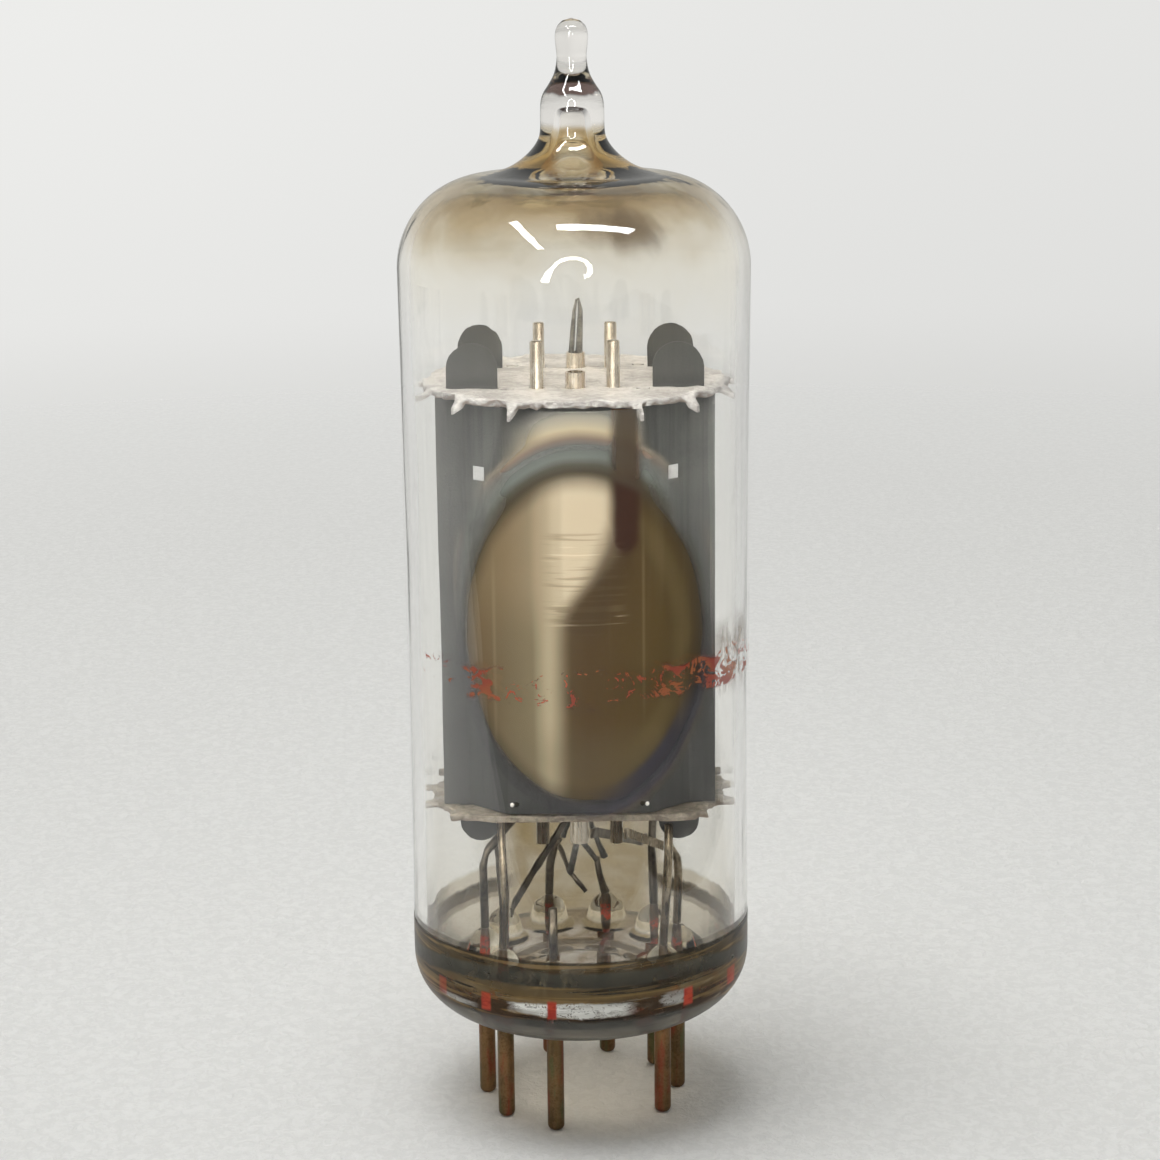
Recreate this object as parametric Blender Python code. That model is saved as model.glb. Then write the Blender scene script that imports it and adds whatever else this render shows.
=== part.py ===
"""Nine-pin miniature glass valve with two identical triodes, one in front of the other.

The frame has +Z up, the pin tips on z = 0 and the tube's axis on x = y = 0.
Two mica discs carry everything inside the bulb: they hold the plates by their
ears, the grids by their side rods and the cathode sleeves in punched holes.
The glass button at the bottom carries the nine pins, each of which is a thick
outer pin, a copper-clad sealing wire in the glass and a thin inner lead.
"""

import math

import bmesh
import bpy
from mathutils import Matrix, Vector

MM = 0.001

# Bulb and exhaust tip
BULB_DIAMETER = 20.64 * MM
GLASS_WALL = 0.75 * MM
SEAT_TO_DOME = 50.6 * MM
SHOULDER_RADIUS = 5.35 * MM
DOME_CROWN = 0.45 * MM
TIP_LENGTH = 8.8 * MM
TIP_NECK_RADIUS = 1.85 * MM
TIP_BEAD_RADIUS = 0.95 * MM
TIP_WAIST_RADIUS = 0.84 * MM
TIP_BEAD_LENGTH = 3.2 * MM
TIP_CONE_LENGTH = 1.75 * MM
TIP_FLARE_RADIUS = 4.0 * MM
TIP_FLARE_HEIGHT = 2.45 * MM
TIP_BORE_RADIUS = 0.95 * MM
TIP_BORE_DEPTH = 5.2 * MM
HEEL_RADIUS = 3.3 * MM

# Glass button and its pins
MOUND_TO_RIM = 0.05 * MM
BUTTON_THICKNESS = 2.4 * MM
BUTTON_BEVEL = 0.35 * MM
DISH_TO_PINS = 1.245 * MM
BUTTON_DISH_DEPTH = 0.5 * MM
MOUND_RADIUS = 1.45 * MM
MOUND_HEIGHT = 2.0 * MM
PIN_CIRCLE_DIAMETER = 11.89 * MM
PIN_DIAMETER = 1.016 * MM
PIN_LENGTH = 6.6 * MM
PIN_SINK = 0.35 * MM
PIN_TIP_FLAT = 0.16 * MM
PIN_STEP = math.radians(36.0)
FIRST_PIN_ANGLE = math.radians(56.0)
PIN_COUNT = 9
SEAL_DIAMETER = 0.55 * MM
LEAD_DIAMETER = 0.5 * MM
LEAD_BEND_RADIUS = 1.2 * MM
UNUSED_LEAD_LENGTH = 3.3 * MM

# Bends of each inner lead: offsets in x and y from its pin, and share of the way up to the mica
LEAD_BENDS = {
    1: ((0.10, -0.10, 0.21),),
    2: ((0.12, 0.00, 0.37), (0.02, -0.05, 0.50), (-0.50, -0.35, 0.59)),
    3: ((-0.14, 0.00, 0.42), (-0.05, 0.00, 0.71)),
    4: ((-0.30, -0.20, 0.14), (-0.50, -0.50, 0.28)),
    5: ((0.06, 0.00, 0.22), (0.30, -0.20, 0.37), (0.62, -0.60, 0.44)),
    6: ((-0.28, -0.10, 0.28),),
    7: ((-0.03, 0.00, 0.45), (0.18, 0.10, 0.55), (0.74, 0.35, 0.62), (1.45, 1.10, 0.71)),
    8: ((0.18, -0.10, 0.37),),
    9: (),
}

# Micas
MICA_THICKNESS = 0.36 * MM
MICA_SPACING = 24.74 * MM
BUTTON_TO_MICA = 13.3 * MM
TOOTH_TO_GLASS = 0.1 * MM
TOOTH_REACH = 0.42 * MM
TOP_TOOTH_DROOP = 0.7 * MM
BOTTOM_TOOTH_DROOP = 0.08 * MM
TOP_TOOTH_STEP = math.radians(22.5)
SIDE_TOOTH_COUNT = 5
TOOTH_HALF_ANGLE = math.radians(2.3)
SIDE_SCALLOP = 0.35 * MM
BOTTOM_MICA_EDGE = 0.3 * MM
NOTCH_HALF_WIDTH = 2.1 * MM
NOTCH_DEPTH = 0.6 * MM
NOTCH_SLOPE = 0.3 * MM
LOCATOR_HOLE_WIDTH = 0.75 * MM
LOCATOR_HOLE_DEPTH = 0.5 * MM
LEAKAGE_SLIT_LENGTH = 0.6 * MM
LEAKAGE_SLIT_WIDTH = 0.12 * MM

# Plates, each of an outer and an inner pressing
UNIT_OFFSET = 3.6 * MM
PLATE_SHEET = 0.15 * MM
PLATE_FOLD_RADIUS = 0.35 * MM
PLATE_TO_MICA_EDGE = 0.36 * MM
FLANGE_WIDTH = 1.45 * MM
FACE_BEYOND_CHANNEL = 0.6 * MM
PLATE_FACE_REACH = 2.2 * MM
CHANNEL_SLOPE = 0.4 * MM
CHANNEL_DEPTH = 1.9 * MM
EAR_TO_CHANNEL = 0.9 * MM
EAR_TO_PLATE_EDGE = 0.6 * MM
TOP_EAR_REACH = 2.6 * MM
BOTTOM_EAR_INSET = 0.25 * MM
BOTTOM_EAR_REACH = 1.95 * MM
WINDOW_TO_EAR = 0.33 * MM
WINDOW_WIDTH = 0.68 * MM
WINDOW_HEIGHT = 0.85 * MM
WINDOW_BELOW_TOP = 4.35 * MM
SLOT_WIDTH = 1.1 * MM
SLOT_HEIGHT = 3.4 * MM
GAUGE_HOLE_DIAMETER = 0.32 * MM
GAUGE_HOLE_ABOVE_EDGE = 0.6 * MM
GAUGE_HOLE_TO_FOLD = 0.45 * MM

# Grids, cathodes and heaters
GRID_HALF_WIDTH = 2.18 * MM
GRID_TO_CHANNEL = 0.92 * MM
GRID_ROD_DIAMETER = 0.76 * MM
GRID_ROD_CHAMFER = 0.06 * MM
GRID_ROD_ABOVE_MICA = 2.7 * MM
GRID_ROD_BELOW_MICA = 2.15 * MM
GRID_WIRE_DIAMETER = 0.09 * MM
GRID_TURNS = 15
GRID_HALF_DEPTH = 0.95 * MM
GRID_END_GAP = 1.0 * MM
CATHODE_DIAMETER = 1.12 * MM
CATHODE_WALL = 0.1 * MM
CATHODE_ABOVE_MICA = 0.9 * MM
CATHODE_BELOW_MICA = 2.1 * MM
HEATER_WIRE_DIAMETER = 0.38 * MM
HEATER_STRAND_X = 0.22 * MM
HEATER_MOUTH = 0.15 * MM
HEATER_FOLD_DEPTH = 0.35 * MM
HEATER_SPIKE = 3.2 * MM
LINK_DIAMETER = 0.34 * MM

# How far each heater leg and the link stand off what they meet: x, y and z in millimetres
FRONT_KNOT_FROM_POST = (0.79, -4.64, -0.55)
FRONT_LEG_FROM_POST = (-0.1, -0.62, 0.15)
BACK_LEG_FROM_LEFT_POST = (0.5, -0.35, 0.2)
BACK_LEG_FROM_RIGHT_POST = (0.3, -0.42, 0.3)
LINK_FROM_POST = (0.05, -0.65, -0.3)
LINK_BEND_FROM_KNOT = (0.0, 0.5, -0.25)
LINK_END_FROM_KNOT = (0.95, 0.3, -1.4)

# Share of the heater wire's thickness along the back heater, thinnest at the top of its loop
BACK_HEATER_THINNING = (1.0, 1.0, 1.0, 1.0, 0.62, 0.45, 0.45, 0.62, 1.0, 1.0, 1.0, 1.0)

# Links below the bottom mica and the getter on the front plate
STRAP_WIDTH = 0.6 * MM
STRAP_SHEET = 0.14 * MM
GETTER_STRAP_X = 2.75 * MM
GETTER_STRAP_WIDTH = 1.5 * MM
GETTER_LENGTH = 5.0 * MM
GETTER_WIDTH = 1.3 * MM
GETTER_DEPTH = 0.7 * MM
GETTER_BELOW_TOP = 12.0 * MM
GETTER_STRAP_EDGE = 0.4 * MM
GETTER_WELD_LENGTH = 2.0 * MM

# Bends of the straps from their starts and from the leads they reach: x, y and z in millimetres
GRID_STRAP_START = (0.0, -0.2, 0.0)
GRID_STRAP_BEND = (0.1, 0.5, -0.15)
GRID_STRAP_END = (-0.35, -0.45, 0.1)
FRONT_STRAP_BEND = (0.3, 0.8, -0.15)
FRONT_STRAP_RISE = (0.0, 0.1, 0.6)
FRONT_STRAP_APPROACH = (-0.4, -1.7, 0.4)
BACK_STRAP_START = (0.35, 0.0, 0.0)
BACK_STRAP_BEND = (-0.2, 0.0, -0.1)
BACK_STRAP_DROP = (0.0, -0.1, -0.8)
BACK_STRAP_APPROACH = (0.15, 0.5, 0.25)
BACK_STRAP_END = (0.0, -0.1, -0.1)

# Gaps between pieces that touch or are fused on the real valve
GLASS_SEAM = 0.05 * MM
SLIP_GAP = 0.08 * MM
WELD_GAP = 0.05 * MM

# Facets
BULB_SIDES = 40
WIRE_SIDES = 8
PIN_SIDES = 12
HOLE_SIDES = 12
ARC_STEPS = 6

# Levels that follow from the sizes above
BULB_RADIUS = BULB_DIAMETER / 2
BULB_INNER_RADIUS = BULB_RADIUS - GLASS_WALL
SEAT_Z = PIN_LENGTH
FLOOR_Z = SEAT_Z + BUTTON_THICKNESS
DOME_Z = SEAT_Z + SEAT_TO_DOME
TIP_TOP_Z = DOME_Z + TIP_LENGTH
MOUND_TOP_Z = FLOOR_Z + MOUND_HEIGHT
PIN_CIRCLE_RADIUS = PIN_CIRCLE_DIAMETER / 2
BUTTON_RADIUS = PIN_CIRCLE_RADIUS + MOUND_RADIUS + MOUND_TO_RIM
BUTTON_DISH_RADIUS = PIN_CIRCLE_RADIUS - DISH_TO_PINS
MICA_RADIUS = BULB_INNER_RADIUS - TOOTH_TO_GLASS - TOOTH_REACH
BOTTOM_MICA_UNDER = SEAT_Z + BUTTON_TO_MICA
BOTTOM_MICA_TOP = BOTTOM_MICA_UNDER + MICA_THICKNESS
TOP_MICA_UNDER = BOTTOM_MICA_TOP + MICA_SPACING
TOP_MICA_TOP = TOP_MICA_UNDER + MICA_THICKNESS
PLATE_BOTTOM = BOTTOM_MICA_TOP + SLIP_GAP
PLATE_TOP = TOP_MICA_UNDER - SLIP_GAP
PLATE_LAP = PLATE_SHEET + WELD_GAP
CHANNEL_BOTTOM_HALF_WIDTH = GRID_HALF_WIDTH + GRID_TO_CHANNEL
CHANNEL_HALF_WIDTH = CHANNEL_BOTTOM_HALF_WIDTH + CHANNEL_SLOPE
PLATE_FACE_HALF_WIDTH = CHANNEL_HALF_WIDTH + FACE_BEYOND_CHANNEL
PLATE_HALF_WIDTH = math.sqrt(MICA_RADIUS ** 2 - (UNIT_OFFSET + PLATE_LAP) ** 2) - PLATE_TO_MICA_EDGE
FLANGE_INNER = PLATE_HALF_WIDTH - FLANGE_WIDTH
BOTTOM_MICA_HALF_DEPTH = UNIT_OFFSET + PLATE_FACE_REACH + BOTTOM_MICA_EDGE
EAR_INNER = CHANNEL_HALF_WIDTH + EAR_TO_CHANNEL
TOP_EAR_WIDTH = PLATE_HALF_WIDTH - EAR_TO_PLATE_EDGE - EAR_INNER
BOTTOM_EAR_WIDTH = TOP_EAR_WIDTH - 2 * BOTTOM_EAR_INSET
EAR_X = EAR_INNER + TOP_EAR_WIDTH / 2
WINDOW_X = EAR_X - WINDOW_TO_EAR
GRID_ROD_BOTTOM = BOTTOM_MICA_UNDER - GRID_ROD_BELOW_MICA
CATHODE_BOTTOM = BOTTOM_MICA_UNDER - CATHODE_BELOW_MICA
CATHODE_TOP = TOP_MICA_TOP + CATHODE_ABOVE_MICA
LEAD_START_Z = MOUND_TOP_Z + WELD_GAP


def clear_scene():
    for old in list(bpy.data.objects):
        bpy.data.objects.remove(old, do_unlink=True)


def material(name, colour, roughness, metallic, transmission=0.0):
    """A plain finish: colour is linear red, green and blue."""
    mat = bpy.data.materials.get(name) or bpy.data.materials.new(name)
    mat.use_nodes = True
    shader = mat.node_tree.nodes["Principled BSDF"]
    shader.inputs["Base Color"].default_value = (*colour, 1.0)
    shader.inputs["Roughness"].default_value = roughness
    shader.inputs["Metallic"].default_value = metallic
    shader.inputs["Transmission Weight"].default_value = transmission
    return mat


def clear_glass():
    return material("clear_glass", (0.90, 0.89, 0.84), 0.05, 0.0, 1.0)


def tarnished_pin():
    return material("tarnished_pin_nickel", (0.22, 0.11, 0.05), 0.42, 1.0)


def red_seal():
    return material("red_sealing_wire", (0.42, 0.05, 0.03), 0.45, 0.3)


def bright_nickel():
    return material("bright_nickel", (0.50, 0.43, 0.36), 0.3, 1.0)


def dull_nickel():
    return material("dull_nickel", (0.14, 0.12, 0.10), 0.45, 1.0)


def white_mica():
    return material("white_mica", (0.66, 0.60, 0.56), 0.7, 0.0)


def brown_mica():
    return material("brown_mica", (0.33, 0.27, 0.20), 0.5, 0.0)


def carbon_black():
    return material("carbonised_plate", (0.10, 0.10, 0.095), 0.6, 0.2)


def coated_heater():
    return material("coated_heater_wire", (0.12, 0.115, 0.11), 0.6, 0.2)


def getter_steel():
    return material("getter_steel", (0.12, 0.07, 0.04), 0.4, 1.0)


def place(name, mesh, mat, smooth=True):
    """Makes one object of a mesh or curve, shaded smooth up to sharp folds."""
    piece = bpy.data.objects.new(name, mesh)
    bpy.context.scene.collection.objects.link(piece)
    if mat:
        mesh.materials.append(mat)
    if smooth and isinstance(mesh, bpy.types.Mesh):
        mesh.shade_smooth()
        mesh.set_sharp_from_angle(angle=math.radians(35.0))
    return piece


def from_bmesh(name, bm, mat, smooth=True):
    bmesh.ops.recalc_face_normals(bm, faces=bm.faces)
    mesh = bpy.data.meshes.new(name)
    bm.to_mesh(mesh)
    bm.free()
    return place(name, mesh, mat, smooth)


def arc(centre, radius, start, end, steps):
    """Points of a round stretch in a plane, angles in degrees from the first axis."""
    points = []
    for i in range(steps + 1):
        angle = math.radians(start + (end - start) * i / steps)
        points.append((centre[0] + radius * math.cos(angle), centre[1] + radius * math.sin(angle)))
    return points


def rounded(points, radius, steps=3):
    """The same polyline with each inner corner rounded to the given radius."""
    result = [Vector(points[0])]
    for before, corner, after in zip(points, points[1:], points[2:]):
        before, corner, after = Vector(before), Vector(corner), Vector(after)
        leg_in = (before - corner).normalized()
        leg_out = (after - corner).normalized()
        half = leg_in.angle(leg_out) / 2
        reach = min(radius / math.tan(half), (before - corner).length / 2, (after - corner).length / 2)
        start = corner + leg_in * reach
        end = corner + leg_out * reach
        for i in range(steps + 1):
            t = i / steps
            result.append(start * (1 - t) ** 2 + corner * 2 * t * (1 - t) + end * t ** 2)
    result.append(Vector(points[-1]))
    return result


def spin_profile(bm, profile, sides, centre=(0.0, 0.0)):
    """Turns a profile of (radius, height) points about a vertical axis."""
    verts = [bm.verts.new((centre[0] + r, centre[1], z)) for r, z in profile]
    edges = [bm.edges.new(pair) for pair in zip(verts, verts[1:])]
    bmesh.ops.spin(bm, geom=verts + edges, cent=(centre[0], centre[1], 0.0), axis=(0, 0, 1),
                   angle=2 * math.pi, steps=sides, use_merge=True)
    bmesh.ops.remove_doubles(bm, verts=bm.verts, dist=0.0005 * MM)


def lathe(name, profile, sides, mat, centre=(0.0, 0.0)):
    bm = bmesh.new()
    spin_profile(bm, profile, sides, centre)
    return from_bmesh(name, bm, mat)


def add_prism(bm, outline, low, high):
    """A straight-sided block on an outline of (x, y) points."""
    base = bm.faces.new([bm.verts.new((x, y, low)) for x, y in outline])
    grown = bmesh.ops.extrude_face_region(bm, geom=[base])
    top = [item for item in grown["geom"] if isinstance(item, bmesh.types.BMVert)]
    bmesh.ops.translate(bm, verts=top, vec=(0, 0, high - low))


def add_drill(bm, x, y, radius, low, high, sides=HOLE_SIDES):
    frame = Matrix.Translation((x, y, (low + high) / 2))
    bmesh.ops.create_cone(bm, cap_ends=True, segments=sides, radius1=radius, radius2=radius,
                          depth=high - low, matrix=frame)


def cutter(name, bm):
    """A hidden tool body that a Boolean modifier uses."""
    tool = from_bmesh(name, bm, None, smooth=False)
    tool.hide_render = True
    tool.display_type = "WIRE"
    return tool


def combine(piece, tool, operation):
    change = piece.modifiers.new(tool.name, "BOOLEAN")
    change.object = tool
    change.operation = operation
    change.solver = "EXACT"


def wire(name, points, diameter, mat, radii=None, sides=WIRE_SIDES):
    """A bent round wire with flat ends; radii can thin it along its length."""
    curve = bpy.data.curves.new(name, "CURVE")
    curve.dimensions = "3D"
    curve.bevel_depth = diameter / 2
    curve.bevel_resolution = sides // 2 - 2
    curve.use_fill_caps = True
    spline = curve.splines.new("POLY")
    spline.points.add(len(points) - 1)
    for i, point in enumerate(points):
        spline.points[i].co = (*point, 1.0)
        spline.points[i].radius = radii[i] if radii else 1.0
    return place(name, curve, mat)


def strap(name, points, width, across, mat, sheet=STRAP_SHEET):
    """A flat ribbon along a route, as wide as given in the direction across."""
    bm = bmesh.new()
    side = Vector(across).normalized() * width / 2
    left = [bm.verts.new(Vector(p) - side) for p in points]
    right = [bm.verts.new(Vector(p) + side) for p in points]
    for i in range(len(points) - 1):
        bm.faces.new((left[i], right[i], right[i + 1], left[i + 1]))
    ribbon = from_bmesh(name, bm, mat)
    skin = ribbon.modifiers.new("sheet", "SOLIDIFY")
    skin.thickness = sheet
    skin.offset = 0.0
    return ribbon


def pin_place(number):
    """Where pin 1 to 9 stands; the tenth station of the circle stays empty."""
    angle = FIRST_PIN_ANGLE + (number - 1) * PIN_STEP
    return PIN_CIRCLE_RADIUS * math.sin(angle), -PIN_CIRCLE_RADIUS * math.cos(angle)


def bulb_outline():
    """Outer side from the tip's top down to the heel, then up the inside."""
    neck_z = DOME_Z + TIP_FLARE_HEIGHT
    bead_z = TIP_TOP_Z - TIP_BEAD_RADIUS
    cone_top = TIP_TOP_Z - TIP_BEAD_LENGTH
    cone_foot = cone_top - TIP_CONE_LENGTH
    outer = [(0.0, TIP_TOP_Z)]
    outer += arc((0.0, bead_z), TIP_BEAD_RADIUS, 65, 0, 4)
    outer += [(TIP_WAIST_RADIUS, (bead_z + cone_top) / 2), (TIP_BEAD_RADIUS, cone_top),
              (TIP_NECK_RADIUS * 0.9, cone_foot + TIP_CONE_LENGTH / 3),
              (TIP_NECK_RADIUS, cone_foot), (TIP_NECK_RADIUS, neck_z)]
    flare_foot = DOME_Z + DOME_CROWN * 0.4
    outer += flare(TIP_NECK_RADIUS, TIP_FLARE_RADIUS, neck_z, flare_foot)
    shoulder = (BULB_RADIUS - SHOULDER_RADIUS, DOME_Z - SHOULDER_RADIUS)
    outer += arc(shoulder, SHOULDER_RADIUS, 84, 0, 2 * ARC_STEPS)
    heel = (BULB_RADIUS - HEEL_RADIUS, SEAT_Z + HEEL_RADIUS)
    ring = BUTTON_RADIUS + GLASS_SEAM
    heel_end = math.degrees(math.acos((ring - heel[0]) / HEEL_RADIUS))
    outer += arc(heel, HEEL_RADIUS, 0, -heel_end, ARC_STEPS)

    inner_heel = BULB_INNER_RADIUS - ring
    inner = [(ring, FLOOR_Z)]
    inner += arc((ring, FLOOR_Z + inner_heel), inner_heel, -60, 0, 3)
    inner += arc(shoulder, SHOULDER_RADIUS - GLASS_WALL, 0, 84, ARC_STEPS)
    bore_top = TIP_TOP_Z - TIP_BORE_DEPTH
    bore_foot = neck_z - 2 * GLASS_WALL
    inner += reversed(flare(TIP_BORE_RADIUS, TIP_FLARE_RADIUS - GLASS_WALL, bore_foot,
                            flare_foot - GLASS_WALL))
    inner += [(TIP_BORE_RADIUS, bore_top), (TIP_BORE_RADIUS * 0.62, bore_top + TIP_BORE_RADIUS),
              (0.0, bore_top + 2 * TIP_BORE_RADIUS)]
    return outer + inner


def flare(narrow, wide, high, low):
    """A quarter of an ellipse that opens from a neck down on to the dome."""
    points = []
    for i in range(1, ARC_STEPS + 1):
        angle = math.pi / 2 * i / ARC_STEPS
        points.append((wide - (wide - narrow) * math.cos(angle), high - (high - low) * math.sin(angle)))
    return points


def make_bulb():
    lathe("bulb", bulb_outline(), BULB_SIDES, clear_glass())


def mound_profile():
    """The fillet of glass that climbs each lead, from below the floor to its lip."""
    sunk = FLOOR_Z - BUTTON_THICKNESS / 3
    profile = [(0.0, MOUND_TOP_Z), (0.42 * MOUND_RADIUS, MOUND_TOP_Z)]
    profile += [(0.72 * MOUND_RADIUS, MOUND_TOP_Z - 0.15 * MOUND_HEIGHT),
                (0.88 * MOUND_RADIUS, FLOOR_Z + 0.45 * MOUND_HEIGHT),
                (MOUND_RADIUS, FLOOR_Z + 0.1 * MOUND_HEIGHT),
                (MOUND_RADIUS, sunk), (0.0, sunk)]
    return profile


def make_button():
    """The glass button: dished below, with nine stepped bores and their mounds."""
    slope = BUTTON_DISH_DEPTH
    profile = [(0.0, FLOOR_Z), (BUTTON_RADIUS, FLOOR_Z), (BUTTON_RADIUS, SEAT_Z + BUTTON_BEVEL),
               (BUTTON_RADIUS - BUTTON_BEVEL, SEAT_Z), (BUTTON_DISH_RADIUS, SEAT_Z),
               (BUTTON_DISH_RADIUS - slope, SEAT_Z + BUTTON_DISH_DEPTH * 0.8),
               (BUTTON_DISH_RADIUS / 2, SEAT_Z + BUTTON_DISH_DEPTH),
               (0.0, SEAT_Z + BUTTON_DISH_DEPTH)]
    button = lathe("glass_button", profile, BULB_SIDES, clear_glass())

    mounds = bmesh.new()
    bores = bmesh.new()
    pin_bore = PIN_DIAMETER / 2 + GLASS_SEAM
    seal_bore = SEAL_DIAMETER / 2 + GLASS_SEAM
    pin_end = SEAT_Z + PIN_SINK + GLASS_SEAM
    bore = [(0.0, MOUND_TOP_Z + MM), (seal_bore, MOUND_TOP_Z + MM), (seal_bore, pin_end),
            (pin_bore, pin_end), (pin_bore, SEAT_Z - MM), (0.0, SEAT_Z - MM)]
    for number in range(1, PIN_COUNT + 1):
        spin_profile(mounds, mound_profile(), HOLE_SIDES, pin_place(number))
        spin_profile(bores, bore, HOLE_SIDES, pin_place(number))
    combine(button, cutter("button_mounds", mounds), "UNION")
    combine(button, cutter("button_bores", bores), "DIFFERENCE")


def make_pin(number):
    """Outer pin with a rounded tip, and the red sealing wire that joins it to its lead."""
    centre = pin_place(number)
    radius = PIN_DIAMETER / 2
    top = SEAT_Z + PIN_SINK
    dome = radius - PIN_TIP_FLAT
    profile = [(0.0, top), (radius, top), (radius, dome)]
    profile += [(PIN_TIP_FLAT + dome * math.cos(a), dome - dome * math.sin(a))
                for a in (math.radians(30), math.radians(60), math.radians(90))]
    profile += [(0.0, 0.0)]
    lathe(f"pin_{number}", profile, PIN_SIDES, tarnished_pin(), centre)

    seal = SEAL_DIAMETER / 2
    low = top + WELD_GAP
    lathe(f"seal_wire_{number}", [(0.0, MOUND_TOP_Z), (seal, MOUND_TOP_Z), (seal, low), (0.0, low)],
          10, red_seal(), centre)


def lead_routes():
    """The bent inner leads, each from its pin's mound up to what it feeds."""
    climb = BOTTOM_MICA_UNDER - LEAD_START_Z
    routes = {}
    for number, bends in LEAD_BENDS.items():
        x, y = pin_place(number)
        routes[number] = [(x, y, LEAD_START_Z)]
        routes[number] += [(x + dx * MM, y + dy * MM, LEAD_START_Z + share * climb)
                           for dx, dy, share in bends]

    beside_ear = UNIT_OFFSET + PLATE_SHEET / 2 + LEAD_DIAMETER / 2 + WELD_GAP
    inside_ear = EAR_X - BOTTOM_EAR_WIDTH / 4
    ear_z = BOTTOM_MICA_UNDER - BOTTOM_EAR_REACH / 2
    turn_z = ear_z - BOTTOM_EAR_REACH
    routes[1] += [(inside_ear, -beside_ear, turn_z), (inside_ear, -beside_ear, ear_z)]
    back_ear = UNIT_OFFSET - PLATE_SHEET / 2 - LEAD_DIAMETER / 2 - WELD_GAP
    routes[6] += [(routes[6][-1][0], back_ear, turn_z), (-inside_ear, back_ear, ear_z)]
    routes[8].append((routes[8][0][0], -beside_ear, BOTTOM_MICA_UNDER - LEAD_DIAMETER))

    beside_rod = (GRID_ROD_DIAMETER + LEAD_DIAMETER) / 2 + WELD_GAP
    reach = beside_rod * math.cos(math.radians(45.0))
    routes[7].append((-GRID_HALF_WIDTH - reach, UNIT_OFFSET - reach, GRID_ROD_BOTTOM + LEAD_DIAMETER))
    x, y = pin_place(9)
    routes[9].append((x, y, LEAD_START_Z + UNUSED_LEAD_LENGTH))
    return routes


def make_leads():
    bright = (1, 2, 8)
    for number, route in lead_routes().items():
        mat = bright_nickel() if number in bright else dull_nickel()
        wire(f"lead_{number}", rounded(route, LEAD_BEND_RADIUS), LEAD_DIAMETER, mat)


def tooth(angle, root, tip):
    """One blunt prong on a mica's rim; angle runs counterclockwise from +X."""
    wide = TOOTH_HALF_ANGLE
    narrow = TOOTH_HALF_ANGLE / 4
    corners = ((-wide, root), (-narrow, tip), (narrow, tip), (wide, root))
    return [(radius * math.cos(angle + turn), radius * math.sin(angle + turn)) for turn, radius in corners]


def rim_point(angle, radius):
    return radius * math.cos(angle), radius * math.sin(angle)


def top_mica_outline():
    """Fourteen prongs, with a shallow notch at the front and at the back."""
    outline = []
    tip = MICA_RADIUS + TOOTH_REACH
    edge_y = math.sqrt(MICA_RADIUS ** 2 - NOTCH_HALF_WIDTH ** 2)
    floor_x = NOTCH_HALF_WIDTH - NOTCH_SLOPE
    floor_y = MICA_RADIUS - NOTCH_DEPTH
    for i in range(16):
        angle = i * TOP_TOOTH_STEP
        if i in (4, 12):
            way = 1 if i == 4 else -1
            outline += [(way * NOTCH_HALF_WIDTH, way * edge_y), (way * floor_x, way * floor_y),
                        (-way * floor_x, way * floor_y), (-way * NOTCH_HALF_WIDTH, way * edge_y)]
        else:
            outline += tooth(angle, MICA_RADIUS, tip)
            if i not in (3, 11):
                outline.append(rim_point(angle + TOP_TOOTH_STEP / 2, MICA_RADIUS))
    return outline


def bottom_mica_outline():
    """Straight at the front and back, with pronged and scalloped ends."""
    outline = []
    tip = MICA_RADIUS + TOOTH_REACH
    corner = math.asin(BOTTOM_MICA_HALF_DEPTH / MICA_RADIUS)
    step = 2 * corner / (SIDE_TOOTH_COUNT - 0.5)
    last = SIDE_TOOTH_COUNT - 1
    for end in (0.0, math.pi):
        outline.append(rim_point(end - corner, MICA_RADIUS))
        for i in range(SIDE_TOOTH_COUNT):
            angle = end + (i - last / 2) * step
            outline += tooth(angle, MICA_RADIUS, tip - TOOTH_REACH / 2 if i in (0, last) else tip)
            if i < last:
                outline.append(rim_point(angle + step / 2, MICA_RADIUS - SIDE_SCALLOP))
        outline.append(rim_point(end + corner, MICA_RADIUS))
    return outline


def rectangle(x, y, width, depth):
    return [(x - width / 2, y - depth / 2), (x + width / 2, y - depth / 2),
            (x + width / 2, y + depth / 2), (x - width / 2, y + depth / 2)]


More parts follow.
